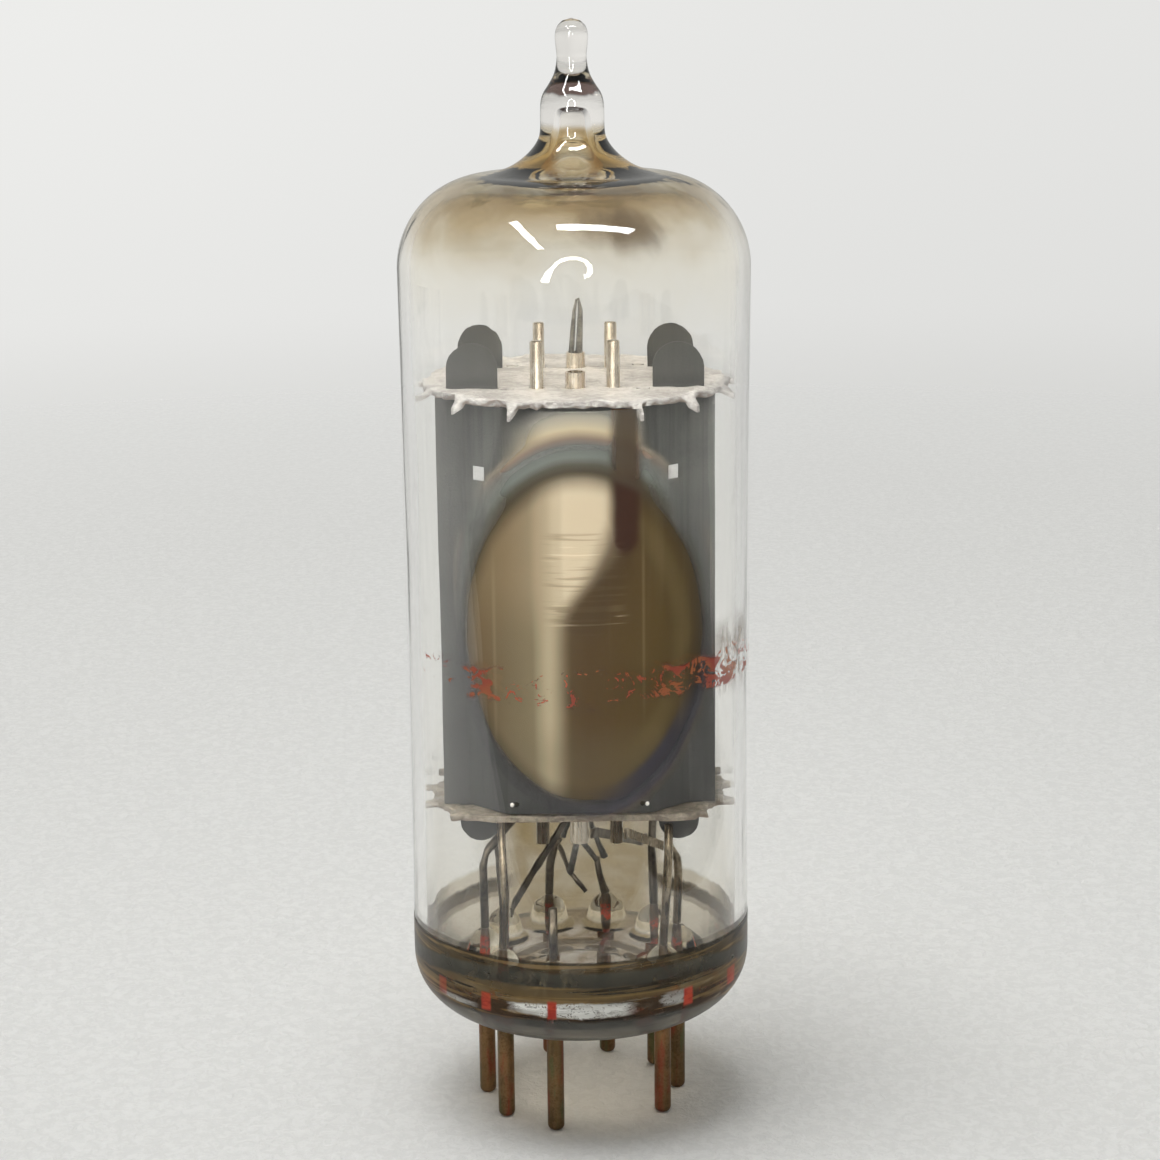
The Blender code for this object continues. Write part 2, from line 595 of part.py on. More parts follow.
def make_mica(name, outline, under, ear_width, droop, mat):
    """A punched mica: slots for the ears, holes for rods and sleeves, and leakage slits."""
    bm = bmesh.new()
    add_prism(bm, outline, under, under + MICA_THICKNESS)
    for vert in bm.verts:
        distance = math.hypot(vert.co.x, vert.co.y)
        beyond = (distance - MICA_RADIUS) / TOOTH_REACH
        if beyond > 0:
            forward = abs(vert.co.y) / distance
            vert.co.z -= droop * (0.3 + 0.7 * forward) * min(1.0, beyond)
    bmesh.ops.triangulate(bm, faces=bm.faces)
    mica = from_bmesh(name, bm, mat, smooth=False)

    holes = bmesh.new()
    low = under - MM
    high = under + MICA_THICKNESS + MM
    rod = GRID_ROD_DIAMETER / 2 + SLIP_GAP
    sleeve = CATHODE_DIAMETER / 2 + SLIP_GAP
    locator_x = PLATE_FACE_HALF_WIDTH - LOCATOR_HOLE_WIDTH / 3
    slit_x = (GRID_HALF_WIDTH - rod + sleeve) / 2
    for unit_y in (-UNIT_OFFSET, UNIT_OFFSET):
        locator_y = unit_y + math.copysign(LOCATOR_HOLE_DEPTH, unit_y)
        for side in (-1, 1):
            cuts = ((EAR_X, unit_y, ear_width + 2 * SLIP_GAP, PLATE_SHEET + 2 * SLIP_GAP),
                    (locator_x, locator_y, LOCATOR_HOLE_WIDTH, LOCATOR_HOLE_DEPTH),
                    (slit_x, unit_y, LEAKAGE_SLIT_LENGTH, LEAKAGE_SLIT_WIDTH))
            for x, y, width, depth in cuts:
                add_prism(holes, rectangle(side * x, y, width, depth), low, high)
            add_drill(holes, side * GRID_HALF_WIDTH, unit_y, rod, low, high)
        add_drill(holes, 0.0, unit_y, sleeve, low, high)
    combine(mica, cutter(name + "_holes", holes), "DIFFERENCE")


def ear_outline(width, reach):
    """A half-round tab as points beside and above its root, from -X to +X."""
    radius = width / 2
    straight = max(reach - radius, 0.1 * MM)
    height = reach - straight
    points = []
    for i in range(2 * ARC_STEPS + 1):
        angle = math.pi * (1 - i / (2 * ARC_STEPS))
        points.append((radius * math.cos(angle), straight + height * math.sin(angle)))
    return points


def fold_sheet(name, section, mat, ears=False):
    """A pressing folded to a section of (x, y) points, with ears on its flat wings."""
    bm = bmesh.new()
    foot = [bm.verts.new((x, y, PLATE_BOTTOM)) for x, y in section]
    head = [bm.verts.new((x, y, PLATE_TOP)) for x, y in section]
    for i in range(len(section) - 1):
        bm.faces.new((foot[i], foot[i + 1], head[i + 1], head[i]))
    if ears:
        through = MICA_THICKNESS + SLIP_GAP
        for row, width, reach, way in ((head, TOP_EAR_WIDTH, TOP_EAR_REACH, 1),
                                       (foot, BOTTOM_EAR_WIDTH, BOTTOM_EAR_REACH, -1)):
            for side in (-1, 1):
                root = [v for v in row if abs(v.co.x - side * EAR_X) < width / 2 + 0.001 * MM]
                root.sort(key=lambda v: v.co.x)
                z = root[0].co.z
                y = root[0].co.y
                tab = [bm.verts.new((side * EAR_X + dx, y, z + way * (through + dz)))
                       for dx, dz in ear_outline(width, reach)]
                bm.faces.new([root[0]] + tab + root[:0:-1])
    sheet = from_bmesh(name, bm, mat, smooth=False)
    skin = sheet.modifiers.new("sheet", "SOLIDIFY")
    skin.thickness = PLATE_SHEET
    skin.offset = 0.0
    skin.use_even_offset = True
    return sheet


def plate_sections(outward):
    """Outer and inner pressings of one plate, seen from above."""
    wing_y = outward * UNIT_OFFSET
    face = wing_y + outward * PLATE_FACE_REACH
    flange = wing_y + outward * PLATE_LAP
    outer = [(-PLATE_HALF_WIDTH, flange), (-FLANGE_INNER, flange), (-PLATE_FACE_HALF_WIDTH, face),
             (PLATE_FACE_HALF_WIDTH, face), (FLANGE_INNER, flange), (PLATE_HALF_WIDTH, flange)]
    bottom = wing_y - outward * CHANNEL_DEPTH
    stops = sorted((EAR_X - TOP_EAR_WIDTH / 2, EAR_X - BOTTOM_EAR_WIDTH / 2,
                    EAR_X + BOTTOM_EAR_WIDTH / 2, EAR_X + TOP_EAR_WIDTH / 2))
    channel = [(-stops[0], wing_y), (-CHANNEL_HALF_WIDTH, wing_y), (-CHANNEL_BOTTOM_HALF_WIDTH, bottom),
               (CHANNEL_BOTTOM_HALF_WIDTH, bottom), (CHANNEL_HALF_WIDTH, wing_y), (stops[0], wing_y)]
    left = [(-PLATE_HALF_WIDTH, wing_y)] + [(-x, wing_y) for x in reversed(stops[1:])]
    right = [(x, wing_y) for x in stops[1:]] + [(PLATE_HALF_WIDTH, wing_y)]
    inner = left + [tuple(p) for p in rounded(channel, PLATE_FOLD_RADIUS, 2)] + right
    return [tuple(p) for p in rounded(outer, PLATE_FOLD_RADIUS, 2)], inner


def make_plate(place_name, outward, opening_x, opening_width, opening_height):
    """One plate; its outer pressing has an opening on each slope, its inner one a taller slot."""
    outer_section, inner_section = plate_sections(outward)
    outer = fold_sheet(f"plate_{place_name}_outer", outer_section, carbon_black())
    inner = fold_sheet(f"plate_{place_name}_inner", inner_section, carbon_black(), ears=True)

    wing_y = outward * UNIT_OFFSET
    face_y = outward * (UNIT_OFFSET + PLATE_FACE_REACH)
    between = wing_y + outward * PLATE_LAP / 2
    beyond = face_y + outward * MM
    opening_top = PLATE_TOP - WINDOW_BELOW_TOP + WINDOW_HEIGHT / 2
    openings = bmesh.new()
    slots = bmesh.new()
    for side in (-1, 1):
        opening = rectangle(side * opening_x, (between + beyond) / 2, opening_width, abs(beyond - between))
        add_prism(openings, opening, opening_top - opening_height, opening_top)
        slot = rectangle(side * EAR_X, wing_y, SLOT_WIDTH, 2 * PLATE_SHEET)
        add_prism(slots, slot, opening_top - SLOT_HEIGHT, opening_top)
        hole_x = side * (PLATE_FACE_HALF_WIDTH - GAUGE_HOLE_TO_FOLD)
        frame = Matrix.Translation((hole_x, face_y, PLATE_BOTTOM + GAUGE_HOLE_ABOVE_EDGE))
        frame = frame @ Matrix.Rotation(math.pi / 2, 4, "X")
        bmesh.ops.create_cone(openings, cap_ends=True, segments=8, radius1=GAUGE_HOLE_DIAMETER / 2,
                              radius2=GAUGE_HOLE_DIAMETER / 2, depth=MM, matrix=frame)
    combine(outer, cutter(f"plate_{place_name}_openings", openings), "DIFFERENCE")
    combine(inner, cutter(f"plate_{place_name}_slots", slots), "DIFFERENCE")


def make_grid(place_name, unit_y):
    """Two side rods and the fine wire wound round them."""
    radius = GRID_ROD_DIAMETER / 2
    top = TOP_MICA_TOP + GRID_ROD_ABOVE_MICA
    for side, side_name in ((-1, "left"), (1, "right")):
        profile = [(0.0, top), (radius - GRID_ROD_CHAMFER, top), (radius, top - GRID_ROD_CHAMFER),
                   (radius, GRID_ROD_BOTTOM), (0.0, GRID_ROD_BOTTOM)]
        lathe(f"grid_{place_name}_rod_{side_name}", profile, PIN_SIDES, bright_nickel(),
              (side * GRID_HALF_WIDTH, unit_y))

    wire_radius = GRID_WIRE_DIAMETER / 2
    half_x = GRID_HALF_WIDTH + (radius + wire_radius + WELD_GAP) * 1.1
    corner_x = GRID_HALF_WIDTH + radius * 0.3
    corner_y = min(GRID_HALF_DEPTH, radius + wire_radius + 2 * WELD_GAP)
    loop = [(half_x, 0.0), (corner_x, corner_y), (0.0, GRID_HALF_DEPTH), (-corner_x, corner_y),
            (-half_x, 0.0), (-corner_x, -corner_y), (0.0, -GRID_HALF_DEPTH), (corner_x, -corner_y)]
    low = PLATE_BOTTOM + GRID_END_GAP
    rise = (PLATE_TOP - GRID_END_GAP - low) / (GRID_TURNS * len(loop))
    points = []
    for i in range(GRID_TURNS * len(loop) + 1):
        x, y = loop[i % len(loop)]
        points.append((x, unit_y + y, low + i * rise))
    wire(f"grid_{place_name}_winding", points, GRID_WIRE_DIAMETER, bright_nickel(), sides=4)


def make_cathode(place_name, unit_y):
    outer = CATHODE_DIAMETER / 2
    inner = outer - CATHODE_WALL
    profile = [(outer, CATHODE_TOP), (outer, CATHODE_BOTTOM), (inner, CATHODE_BOTTOM),
               (inner, CATHODE_TOP), (outer, CATHODE_TOP)]
    lathe(f"cathode_{place_name}", profile, PIN_SIDES, bright_nickel(), (0.0, unit_y))


def shifted(point, move):
    """A point moved by a number of millimetres in x, y and z."""
    return point[0] + move[0] * MM, point[1] + move[1] * MM, point[2] + move[2] * MM


def make_heaters():
    """Each heater is a wire folded once in its sleeve, with two legs to the heater pins."""
    x = HEATER_STRAND_X
    routes = lead_routes()
    post_4 = routes[4][-1]
    post_5 = routes[5][-1]
    mouth = CATHODE_BOTTOM - HEATER_MOUTH
    inside = CATHODE_BOTTOM + CATHODE_BELOW_MICA / 2

    front = -UNIT_OFFSET
    fold = CATHODE_TOP - HEATER_FOLD_DEPTH
    knot = shifted(post_5, FRONT_KNOT_FROM_POST)
    route = [knot, (-x, front, mouth), (-x, front, inside), (-x, front, fold - x),
             (-0.6 * x, front, fold), (0.6 * x, front, fold), (x, front, fold - x),
             (x, front, inside), (x, front, mouth), shifted(post_4, FRONT_LEG_FROM_POST)]
    wire("heater_front", route, HEATER_WIRE_DIAMETER, coated_heater(), sides=6)

    back = UNIT_OFFSET
    tip = CATHODE_TOP + HEATER_SPIKE
    loop_foot = tip - 2 * HEATER_FOLD_DEPTH
    route = [shifted(post_5, BACK_LEG_FROM_RIGHT_POST), (-x, back, mouth), (-x, back, inside),
             (-x, back, CATHODE_TOP), (0.0, back, loop_foot), (0.6 * x, back, tip - x / 3),
             (1.2 * x, back, tip), (1.5 * x, back, loop_foot), (x, back, CATHODE_TOP),
             (x, back, inside), (x, back, mouth), shifted(post_4, BACK_LEG_FROM_LEFT_POST)]
    wire("heater_back", route, HEATER_WIRE_DIAMETER, coated_heater(), radii=BACK_HEATER_THINNING, sides=6)

    link = [shifted(post_5, LINK_FROM_POST), shifted(knot, LINK_BEND_FROM_KNOT),
            shifted(knot, LINK_END_FROM_KNOT)]
    wire("heater_link", rounded(link, LINK_DIAMETER), LINK_DIAMETER, dull_nickel(), sides=6)


def make_straps():
    """Ribbons from the front grid and from both cathode sleeves to their leads."""
    routes = lead_routes()
    clear = STRAP_SHEET / 2 + WELD_GAP
    beside_sleeve = CATHODE_DIAMETER / 2 + clear
    beside_lead = LEAD_DIAMETER / 2 + clear
    sleeve_z = CATHODE_BOTTOM + 0.75 * STRAP_WIDTH
    up = (0, 0, 1)

    rod_side = GRID_HALF_WIDTH + GRID_ROD_DIAMETER / 2 + clear
    start = (rod_side, -UNIT_OFFSET, GRID_ROD_BOTTOM + 0.9 * STRAP_WIDTH)
    grid = [shifted(start, GRID_STRAP_START), shifted(start, GRID_STRAP_BEND),
            shifted(routes[2][-1], GRID_STRAP_END)]
    strap("grid_front_strap", rounded(grid, STRAP_WIDTH), STRAP_WIDTH, up, bright_nickel())

    start = (beside_sleeve, -UNIT_OFFSET, sleeve_z)
    post = shifted(routes[3][1], FRONT_STRAP_RISE)
    post = (post[0] - beside_lead, post[1], post[2])
    cathode = [start, shifted(start, FRONT_STRAP_BEND), shifted(post, FRONT_STRAP_APPROACH), post]
    strap("cathode_front_strap", rounded(cathode, STRAP_WIDTH), STRAP_WIDTH, up, dull_nickel())

    start = (0.0, UNIT_OFFSET - beside_sleeve, sleeve_z)
    post = shifted(routes[8][1], BACK_STRAP_DROP)
    post = (post[0] + beside_lead, post[1], post[2])
    cathode = [shifted(start, BACK_STRAP_START), shifted(start, BACK_STRAP_BEND),
               shifted(post, BACK_STRAP_APPROACH), shifted(post, BACK_STRAP_END)]
    strap("cathode_back_strap", rounded(cathode, STRAP_WIDTH), STRAP_WIDTH, up, dull_nickel())


def make_getter():
    """The getter trough and the strap that holds it off the front plate."""
    face_y = -UNIT_OFFSET - PLATE_FACE_REACH
    weld_y = face_y - PLATE_SHEET / 2 - STRAP_SHEET / 2 - WELD_GAP
    stack = STRAP_SHEET + WELD_GAP + GETTER_DEPTH
    room = BULB_INNER_RADIUS + face_y - PLATE_SHEET / 2
    hang_y = face_y - (room - stack) / 2
    trough_z = PLATE_TOP - GETTER_BELOW_TOP
    top_z = trough_z + GETTER_LENGTH / 2
    x = GETTER_STRAP_X
    weld_end = PLATE_TOP - GETTER_STRAP_EDGE - GETTER_WELD_LENGTH
    half = GETTER_WIDTH / 2
    route = [(x, weld_y, PLATE_TOP - GETTER_STRAP_EDGE), (x, weld_y, weld_end),
             (x, hang_y, weld_end - GETTER_WELD_LENGTH), (x, hang_y, top_z + GETTER_STRAP_WIDTH),
             (half / 2, hang_y, top_z - GETTER_STRAP_WIDTH / 2)]
    strap("getter_strap", rounded(route, STRAP_WIDTH), GETTER_STRAP_WIDTH, (1, 0, 0), getter_steel())

    back_y = hang_y - STRAP_SHEET - WELD_GAP
    rim_y = back_y - GETTER_DEPTH
    section = [(-half, rim_y), (-half * 0.8, back_y), (half * 0.8, back_y), (half, rim_y)]
    bm = bmesh.new()
    low = [bm.verts.new((px, py, trough_z - GETTER_LENGTH / 2)) for px, py in section]
    high = [bm.verts.new((px, py, trough_z + GETTER_LENGTH / 2)) for px, py in section]
    for i in range(len(section) - 1):
        bm.faces.new((low[i], low[i + 1], high[i + 1], high[i]))
    trough = from_bmesh("getter_trough", bm, getter_steel(), smooth=False)
    skin = trough.modifiers.new("sheet", "SOLIDIFY")
    skin.thickness = STRAP_SHEET
    skin.offset = 0.0


def main():
    clear_scene()
    make_bulb()
    make_button()
    for number in range(1, PIN_COUNT + 1):
        make_pin(number)
    make_leads()
    make_mica("top_mica", top_mica_outline(), TOP_MICA_UNDER, TOP_EAR_WIDTH, TOP_TOOTH_DROOP, white_mica())
    make_mica("bottom_mica", bottom_mica_outline(), BOTTOM_MICA_UNDER, BOTTOM_EAR_WIDTH,
              BOTTOM_TOOTH_DROOP, brown_mica())
    make_plate("front", -1, WINDOW_X, WINDOW_WIDTH, WINDOW_HEIGHT)
    make_plate("back", 1, EAR_X, SLOT_WIDTH, SLOT_HEIGHT)
    for place_name, outward in (("front", -1), ("back", 1)):
        make_grid(place_name, outward * UNIT_OFFSET)
        make_cathode(place_name, outward * UNIT_OFFSET)
    make_heaters()
    make_straps()
    make_getter()


main()
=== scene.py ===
"""Looks of the nine-pin miniature tube: its glass, films, mica and metal parts, and the studio."""
import math

import bmesh
import bpy
import mathutils
from mathutils import Matrix, Vector


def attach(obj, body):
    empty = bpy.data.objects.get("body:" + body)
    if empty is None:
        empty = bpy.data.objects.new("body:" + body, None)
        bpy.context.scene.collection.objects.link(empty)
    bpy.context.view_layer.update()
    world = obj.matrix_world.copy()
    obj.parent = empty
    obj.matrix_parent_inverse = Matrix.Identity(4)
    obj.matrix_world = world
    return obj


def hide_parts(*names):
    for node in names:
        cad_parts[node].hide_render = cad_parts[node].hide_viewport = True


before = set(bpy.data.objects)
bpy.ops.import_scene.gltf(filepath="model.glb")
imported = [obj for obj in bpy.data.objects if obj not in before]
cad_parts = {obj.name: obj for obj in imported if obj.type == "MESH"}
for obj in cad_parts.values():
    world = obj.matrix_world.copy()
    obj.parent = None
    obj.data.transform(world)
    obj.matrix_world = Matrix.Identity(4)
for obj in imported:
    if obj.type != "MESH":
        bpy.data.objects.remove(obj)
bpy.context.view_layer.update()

MM = 0.001

# Glass, as blown: the bulb and the button are one body
BULB_RADIUS = 10.3
GLASS_WALL = 0.75
SEAT_LEVEL = 6.6
FLOOR_LEVEL = 9.0
DOME_LEVEL = 57.2
SHOULDER_RADIUS = 5.35
HEEL_RADIUS = 3.3
DISH_RADIUS = 4.5
DISH_DEPTH = 0.5
GLASS_SIDES = 192
MOUND_RADIUS = 1.28
MOUND_FOOT = 0.55
MOUND_TOP = 11.0
INNER_HEEL_RADIUS = 1.9
WAIST = 0.12
TIP_TOP = 66.0
BORE_END = 61.02

# Films on the glass: how far they stand off it
STAIN_GAP = 0.012
SMEAR_GAP = 0.006

# Pins
PIN_CIRCLE = 5.945
PIN_RADIUS = 0.508
PIN_TOP = 6.95
FIRST_PIN_ANGLE = 56.0
PIN_STEP = 36.0
PIN_NUMBERS = range(1, 10)
PIN_SIDES = 40
PIN_ROUNDING = 0.34
FAR_FROM_PINS = 20.0
SEAL_RADIUS = 0.2
SEAL_TOP = 11.0

# Getter mirror, in millimetres on the front of the bulb's inside
MIRROR_RADIUS = BULB_RADIUS - GLASS_WALL - 0.15
MIRROR_CENTRE = (0.35, 31.8)
MIRROR_HALF_SIZE = (6.75, 9.75)

# Micas: the flaked rim lies between the mica's middle and its prongs
RIM_START = 7.2
RIM_WIDTH = 1.2
PRONG_START = 9.3
MICA_EDGE = 0.45
SAME_POINT = 0.0005

# Studio, in metres
CARD_LEVEL = 0.0004


def add_object(name, data):
    item = bpy.data.objects.new(name, data)
    bpy.context.scene.collection.objects.link(item)
    return item


# Camera
def make_camera():
    """The photograph's viewpoint: a hand's width above the tube and close to it."""
    lens = bpy.data.cameras.new("viewpoint")
    lens.sensor_width = 36.0
    lens.lens = 81.955
    lens.clip_start = 0.005
    camera = add_object("viewpoint", lens)
    tilt = Matrix.Rotation(math.radians(90.0 - 13.961), 4, "X")
    level = Matrix.Rotation(math.radians(-0.6065), 4, "Z")
    turn = Matrix.Rotation(math.radians(-0.062), 4, "Z")
    camera.matrix_world = Matrix.Translation((0.0, -0.153778, 0.07121)) @ turn @ tilt @ level
    bpy.context.scene.camera = camera


# Node helpers: each puts one node in a tree and gives back its output socket
def put(tree, kind, inputs=None, **settings):
    node = tree.nodes.new(kind)
    for key, value in settings.items():
        setattr(node, key, value)
    for key, value in (inputs or {}).items():
        socket = node.inputs[key]
        if isinstance(value, bpy.types.NodeSocket):
            tree.links.new(value, socket)
        else:
            socket.default_value = value
    return node


def calc(tree, operation, first, second=0.0, third=0.0, clamp=False):
    node = put(tree, "ShaderNodeMath", {0: first, 1: second, 2: third}, operation=operation)
    node.use_clamp = clamp
    return node.outputs[0]


def times(tree, first, second):
    return calc(tree, "MULTIPLY", first, second)


def diagonal(tree, first, second):
    """The root of the sum of two squares."""
    return calc(tree, "SQRT", calc(tree, "ADD", times(tree, first, first), times(tree, second, second)))


def step(tree, value, low, high, start=0.0, end=1.0):
    """A smooth climb from start to end while value goes from low to high."""
    node = put(tree, "ShaderNodeMapRange", {"Value": value, "From Min": low, "From Max": high,
                                            "To Min": start, "To Max": end},
               interpolation_type="SMOOTHSTEP")
    return node.outputs["Result"]


def span(tree, value, low, high, soft):
    """One between low and high, with soft edges of that width."""
    rise = step(tree, value, low - soft, low + soft)
    fall = step(tree, value, high - soft, high + soft, 1.0, 0.0)
    return times(tree, rise, fall)


def tint(tree, factor, first, second, blend="MIX"):
    node = put(tree, "ShaderNodeMix", data_type="RGBA", blend_type=blend)
    for socket, value in ((node.inputs[0], factor), (node.inputs[6], first), (node.inputs[7], second)):
        if isinstance(value, bpy.types.NodeSocket):
            tree.links.new(value, socket)
        elif socket.type == "RGBA":
            socket.default_value = (*value, 1.0)
        else:
            socket.default_value = value
    return node.outputs[2]


def ramp(tree, value, stops):
    node = put(tree, "ShaderNodeValToRGB", {0: value})
    elements = node.color_ramp.elements
    while len(elements) < len(stops):
        elements.new(0.5)
    for element, (place, colour) in zip(elements, stops):
        element.position = place
        element.color = (*colour, 1.0) if len(colour) == 3 else colour
    return node.outputs["Color"]


def noise(tree, vector, scale, detail=3.0, roughness=0.55, distortion=0.0):
    node = put(tree, "ShaderNodeTexNoise", {"Vector": vector, "Scale": scale, "Detail": detail,
                                            "Roughness": roughness, "Distortion": distortion})
    return node.outputs["Fac"]


def place_in_mm(tree, stretch=(1.0, 1.0, 1.0)):
    """The surface point in millimetres, stretched along each axis."""
    node = put(tree, "ShaderNodeMapping", {"Vector": put(tree, "ShaderNodeTexCoord").outputs["Object"],
                                           "Scale": tuple(1000.0 * s for s in stretch)})
    return node.outputs["Vector"]


def axes(tree, vector):
    return put(tree, "ShaderNodeSeparateXYZ", {0: vector}).outputs


def new_finish(name):
    """A material with its Principled shader; gives the material, its tree and the shader."""
    finish = bpy.data.materials.new(name)
    finish.use_nodes = True
    shader = finish.node_tree.nodes["Principled BSDF"]
    return finish, finish.node_tree, shader


def set_shader(tree, shader, **values):
    names = {"colour": "Base Color", "rough": "Roughness", "metal": "Metallic", "alpha": "Alpha",
             "clear": "Transmission Weight", "coat": "Coat Weight", "normal": "Normal", "ior": "IOR",
             "coat_rough": "Coat Roughness", "shine": "Specular IOR Level"}
    for key, value in values.items():
        socket = shader.inputs[names[key]]
        if isinstance(value, bpy.types.NodeSocket):
            tree.links.new(value, socket)
        elif socket.type == "RGBA":
            socket.default_value = (*value, 1.0)
        else:
            socket.default_value = value


def show_mixed(tree, share, first, second):
    """Shows the first shader, and by that share the second."""
    mixed = put(tree, "ShaderNodeMixShader", {0: share, 1: first.outputs["BSDF"], 2: second.outputs["BSDF"]})
    tree.links.new(mixed.outputs["Shader"], tree.nodes["Material Output"].inputs["Surface"])


def bump(tree, height, strength, distance):
    node = put(tree, "ShaderNodeBump", {"Height": height, "Strength": strength, "Distance": distance})
    return node.outputs["Normal"]


def group(name, inputs, outputs, fill):
    """A shader node group with named sockets, filled once by a function of its tree and inputs."""
    tree = bpy.data.node_groups.new(name, "ShaderNodeTree")
    for label, kind, value in inputs:
        socket = tree.interface.new_socket(name=label, in_out="INPUT", socket_type=kind)
        socket.default_value = value
    for label, kind in outputs:
        tree.interface.new_socket(name=label, in_out="OUTPUT", socket_type=kind)
    entry = tree.nodes.new("NodeGroupInput")
    leave = tree.nodes.new("NodeGroupOutput")
    for label, value in fill(tree, entry.outputs).items():
        tree.links.new(value, leave.inputs[label])
    return tree


def use(tree, shared, **values):
    node = tree.nodes.new("ShaderNodeGroup")
    node.node_tree = shared
    for key, value in values.items():
        socket = node.inputs[key.replace("_", " ").capitalize()]
        if isinstance(value, bpy.types.NodeSocket):
            tree.links.new(value, socket)
        else:
            socket.default_value = value
    return node.outputs


# Shared effects
FLOAT = "NodeSocketFloat"


def fill_mottle(tree, entry):
    """Cloudy and fine variation, both about 0 to 1, from the point in millimetres."""
    point = place_in_mm(tree)
    cloud = noise(tree, point, entry["Cloud scale"], 3.0, 0.6, 0.4)
    grain = noise(tree, point, entry["Grain scale"], 4.0, 0.65)
    both = calc(tree, "MULTIPLY_ADD", calc(tree, "SUBTRACT", grain, 0.5), entry["Grain share"], cloud)
    return {"Value": step(tree, both, 0.3, 0.7), "Grain": grain}


def fill_drawn_lines(tree, entry):
    """Fine lines along the height, as drawing and rolling leave them."""
    point = place_in_mm(tree, (1.0, 1.0, 0.03))
    fine = noise(tree, point, entry["Scale"], 2.0, 0.5)
    return {"Value": step(tree, fine, 0.35, 0.65)}


def pin_distance(tree, point):
    """Distance in plan from a point to the nearest pin's axis; the empty station counts as far."""
    x, y, _ = axes(tree, point)
    angle = calc(tree, "ARCTAN2", x, times(tree, y, -1.0))
    half = math.radians(PIN_STEP / 2)
    off = calc(tree, "WRAP", calc(tree, "SUBTRACT", angle, math.radians(FIRST_PIN_ANGLE)), half, -half)
    away = diagonal(tree, x, y)
    side = times(tree, away, calc(tree, "SINE", off))
    reach = calc(tree, "SUBTRACT", times(tree, away, calc(tree, "COSINE", off)), PIN_CIRCLE)
    gap = diagonal(tree, side, reach)
    empty = calc(tree, "COMPARE", angle, math.radians(FIRST_PIN_ANGLE - PIN_STEP), half)
    return calc(tree, "MULTIPLY_ADD", empty, FAR_FROM_PINS, gap)


mottle = group("mottle", [("Cloud scale", FLOAT, 0.4), ("Grain scale", FLOAT, 6.0),
                          ("Grain share", FLOAT, 0.5)],
               [("Value", FLOAT), ("Grain", FLOAT)], fill_mottle)
drawn_lines = group("drawn_lines", [("Scale", FLOAT, 4.0)], [("Value", FLOAT)], fill_drawn_lines)


# Finishes
def dome_haze(tree, z, away, cloud, streaks):
    """Brown haze in the dome, with a dark spot, and two dark rings at the tip's foot that are painted shade.
    """
    height = calc(tree, "MULTIPLY_ADD", calc(tree, "SUBTRACT", cloud, 0.5), 6.5, z)
    haze = tint(tree, step(tree, height, 46.5, 53.5), (0.992, 0.99, 0.975), (0.965, 0.945, 0.885))
    haze = tint(tree, step(tree, height, 52.0, 57.0), haze, (0.66, 0.555, 0.38))
    brown = times(tree, span(tree, away, 4.6, 7.4, 1.0), step(tree, z, 52.6, 54.6))
    haze = tint(tree, brown, haze, (0.58, 0.47, 0.32))
    spot = put(tree, "ShaderNodeVectorMath", {0: place_in_mm(tree, (0.5, 1.0, 1.0)), 1: (1.35, -8.2, 54.85)},
               operation="DISTANCE")
    spot = calc(tree, "MULTIPLY_ADD", calc(tree, "SUBTRACT", streaks, 0.5), 2.2, spot.outputs["Value"])
    haze = tint(tree, step(tree, spot, 0.4, 1.8, 0.9, 0.0), haze, (0.22, 0.16, 0.10))
    # Two dark rings at the tip's foot: painted shade.
    rings = calc(tree, "MULTIPLY_ADD", streaks, 0.7, away)
    foot = times(tree, span(tree, rings, 3.9, 4.6, 0.25), step(tree, z, 56.2, 56.8))
    haze = tint(tree, foot, haze, (0.13, 0.11, 0.09))
    second = times(tree, span(tree, rings, 5.3, 5.75, 0.25), step(tree, z, 55.8, 56.4))
    haze = tint(tree, times(tree, second, 0.8), haze, (0.36, 0.33, 0.27))
    return haze


def tip_haze(tree, haze, x, z, streaks):
    """Amber at the tip's collar, clear glass in its stem and a dark ring at its cone."""
    collar = span(tree, calc(tree, "MULTIPLY_ADD", streaks, 1.2, z), 57.9, 60.0, 0.4)
    beside = step(tree, calc(tree, "ABSOLUTE", x), 0.5, 1.5)
    haze = tint(tree, collar, haze, tint(tree, beside, (0.93, 0.87, 0.72), (0.46, 0.29, 0.09)))
    stem = step(tree, z, 59.6, 60.1)
    haze = tint(tree, stem, haze, (0.95, 0.93, 0.90))
    cone = span(tree, calc(tree, "MULTIPLY_ADD", streaks, 0.9, z), 62.25, 63.15, 0.12)
    haze = tint(tree, cone, haze, (0.045, 0.022, 0.018))
    return haze


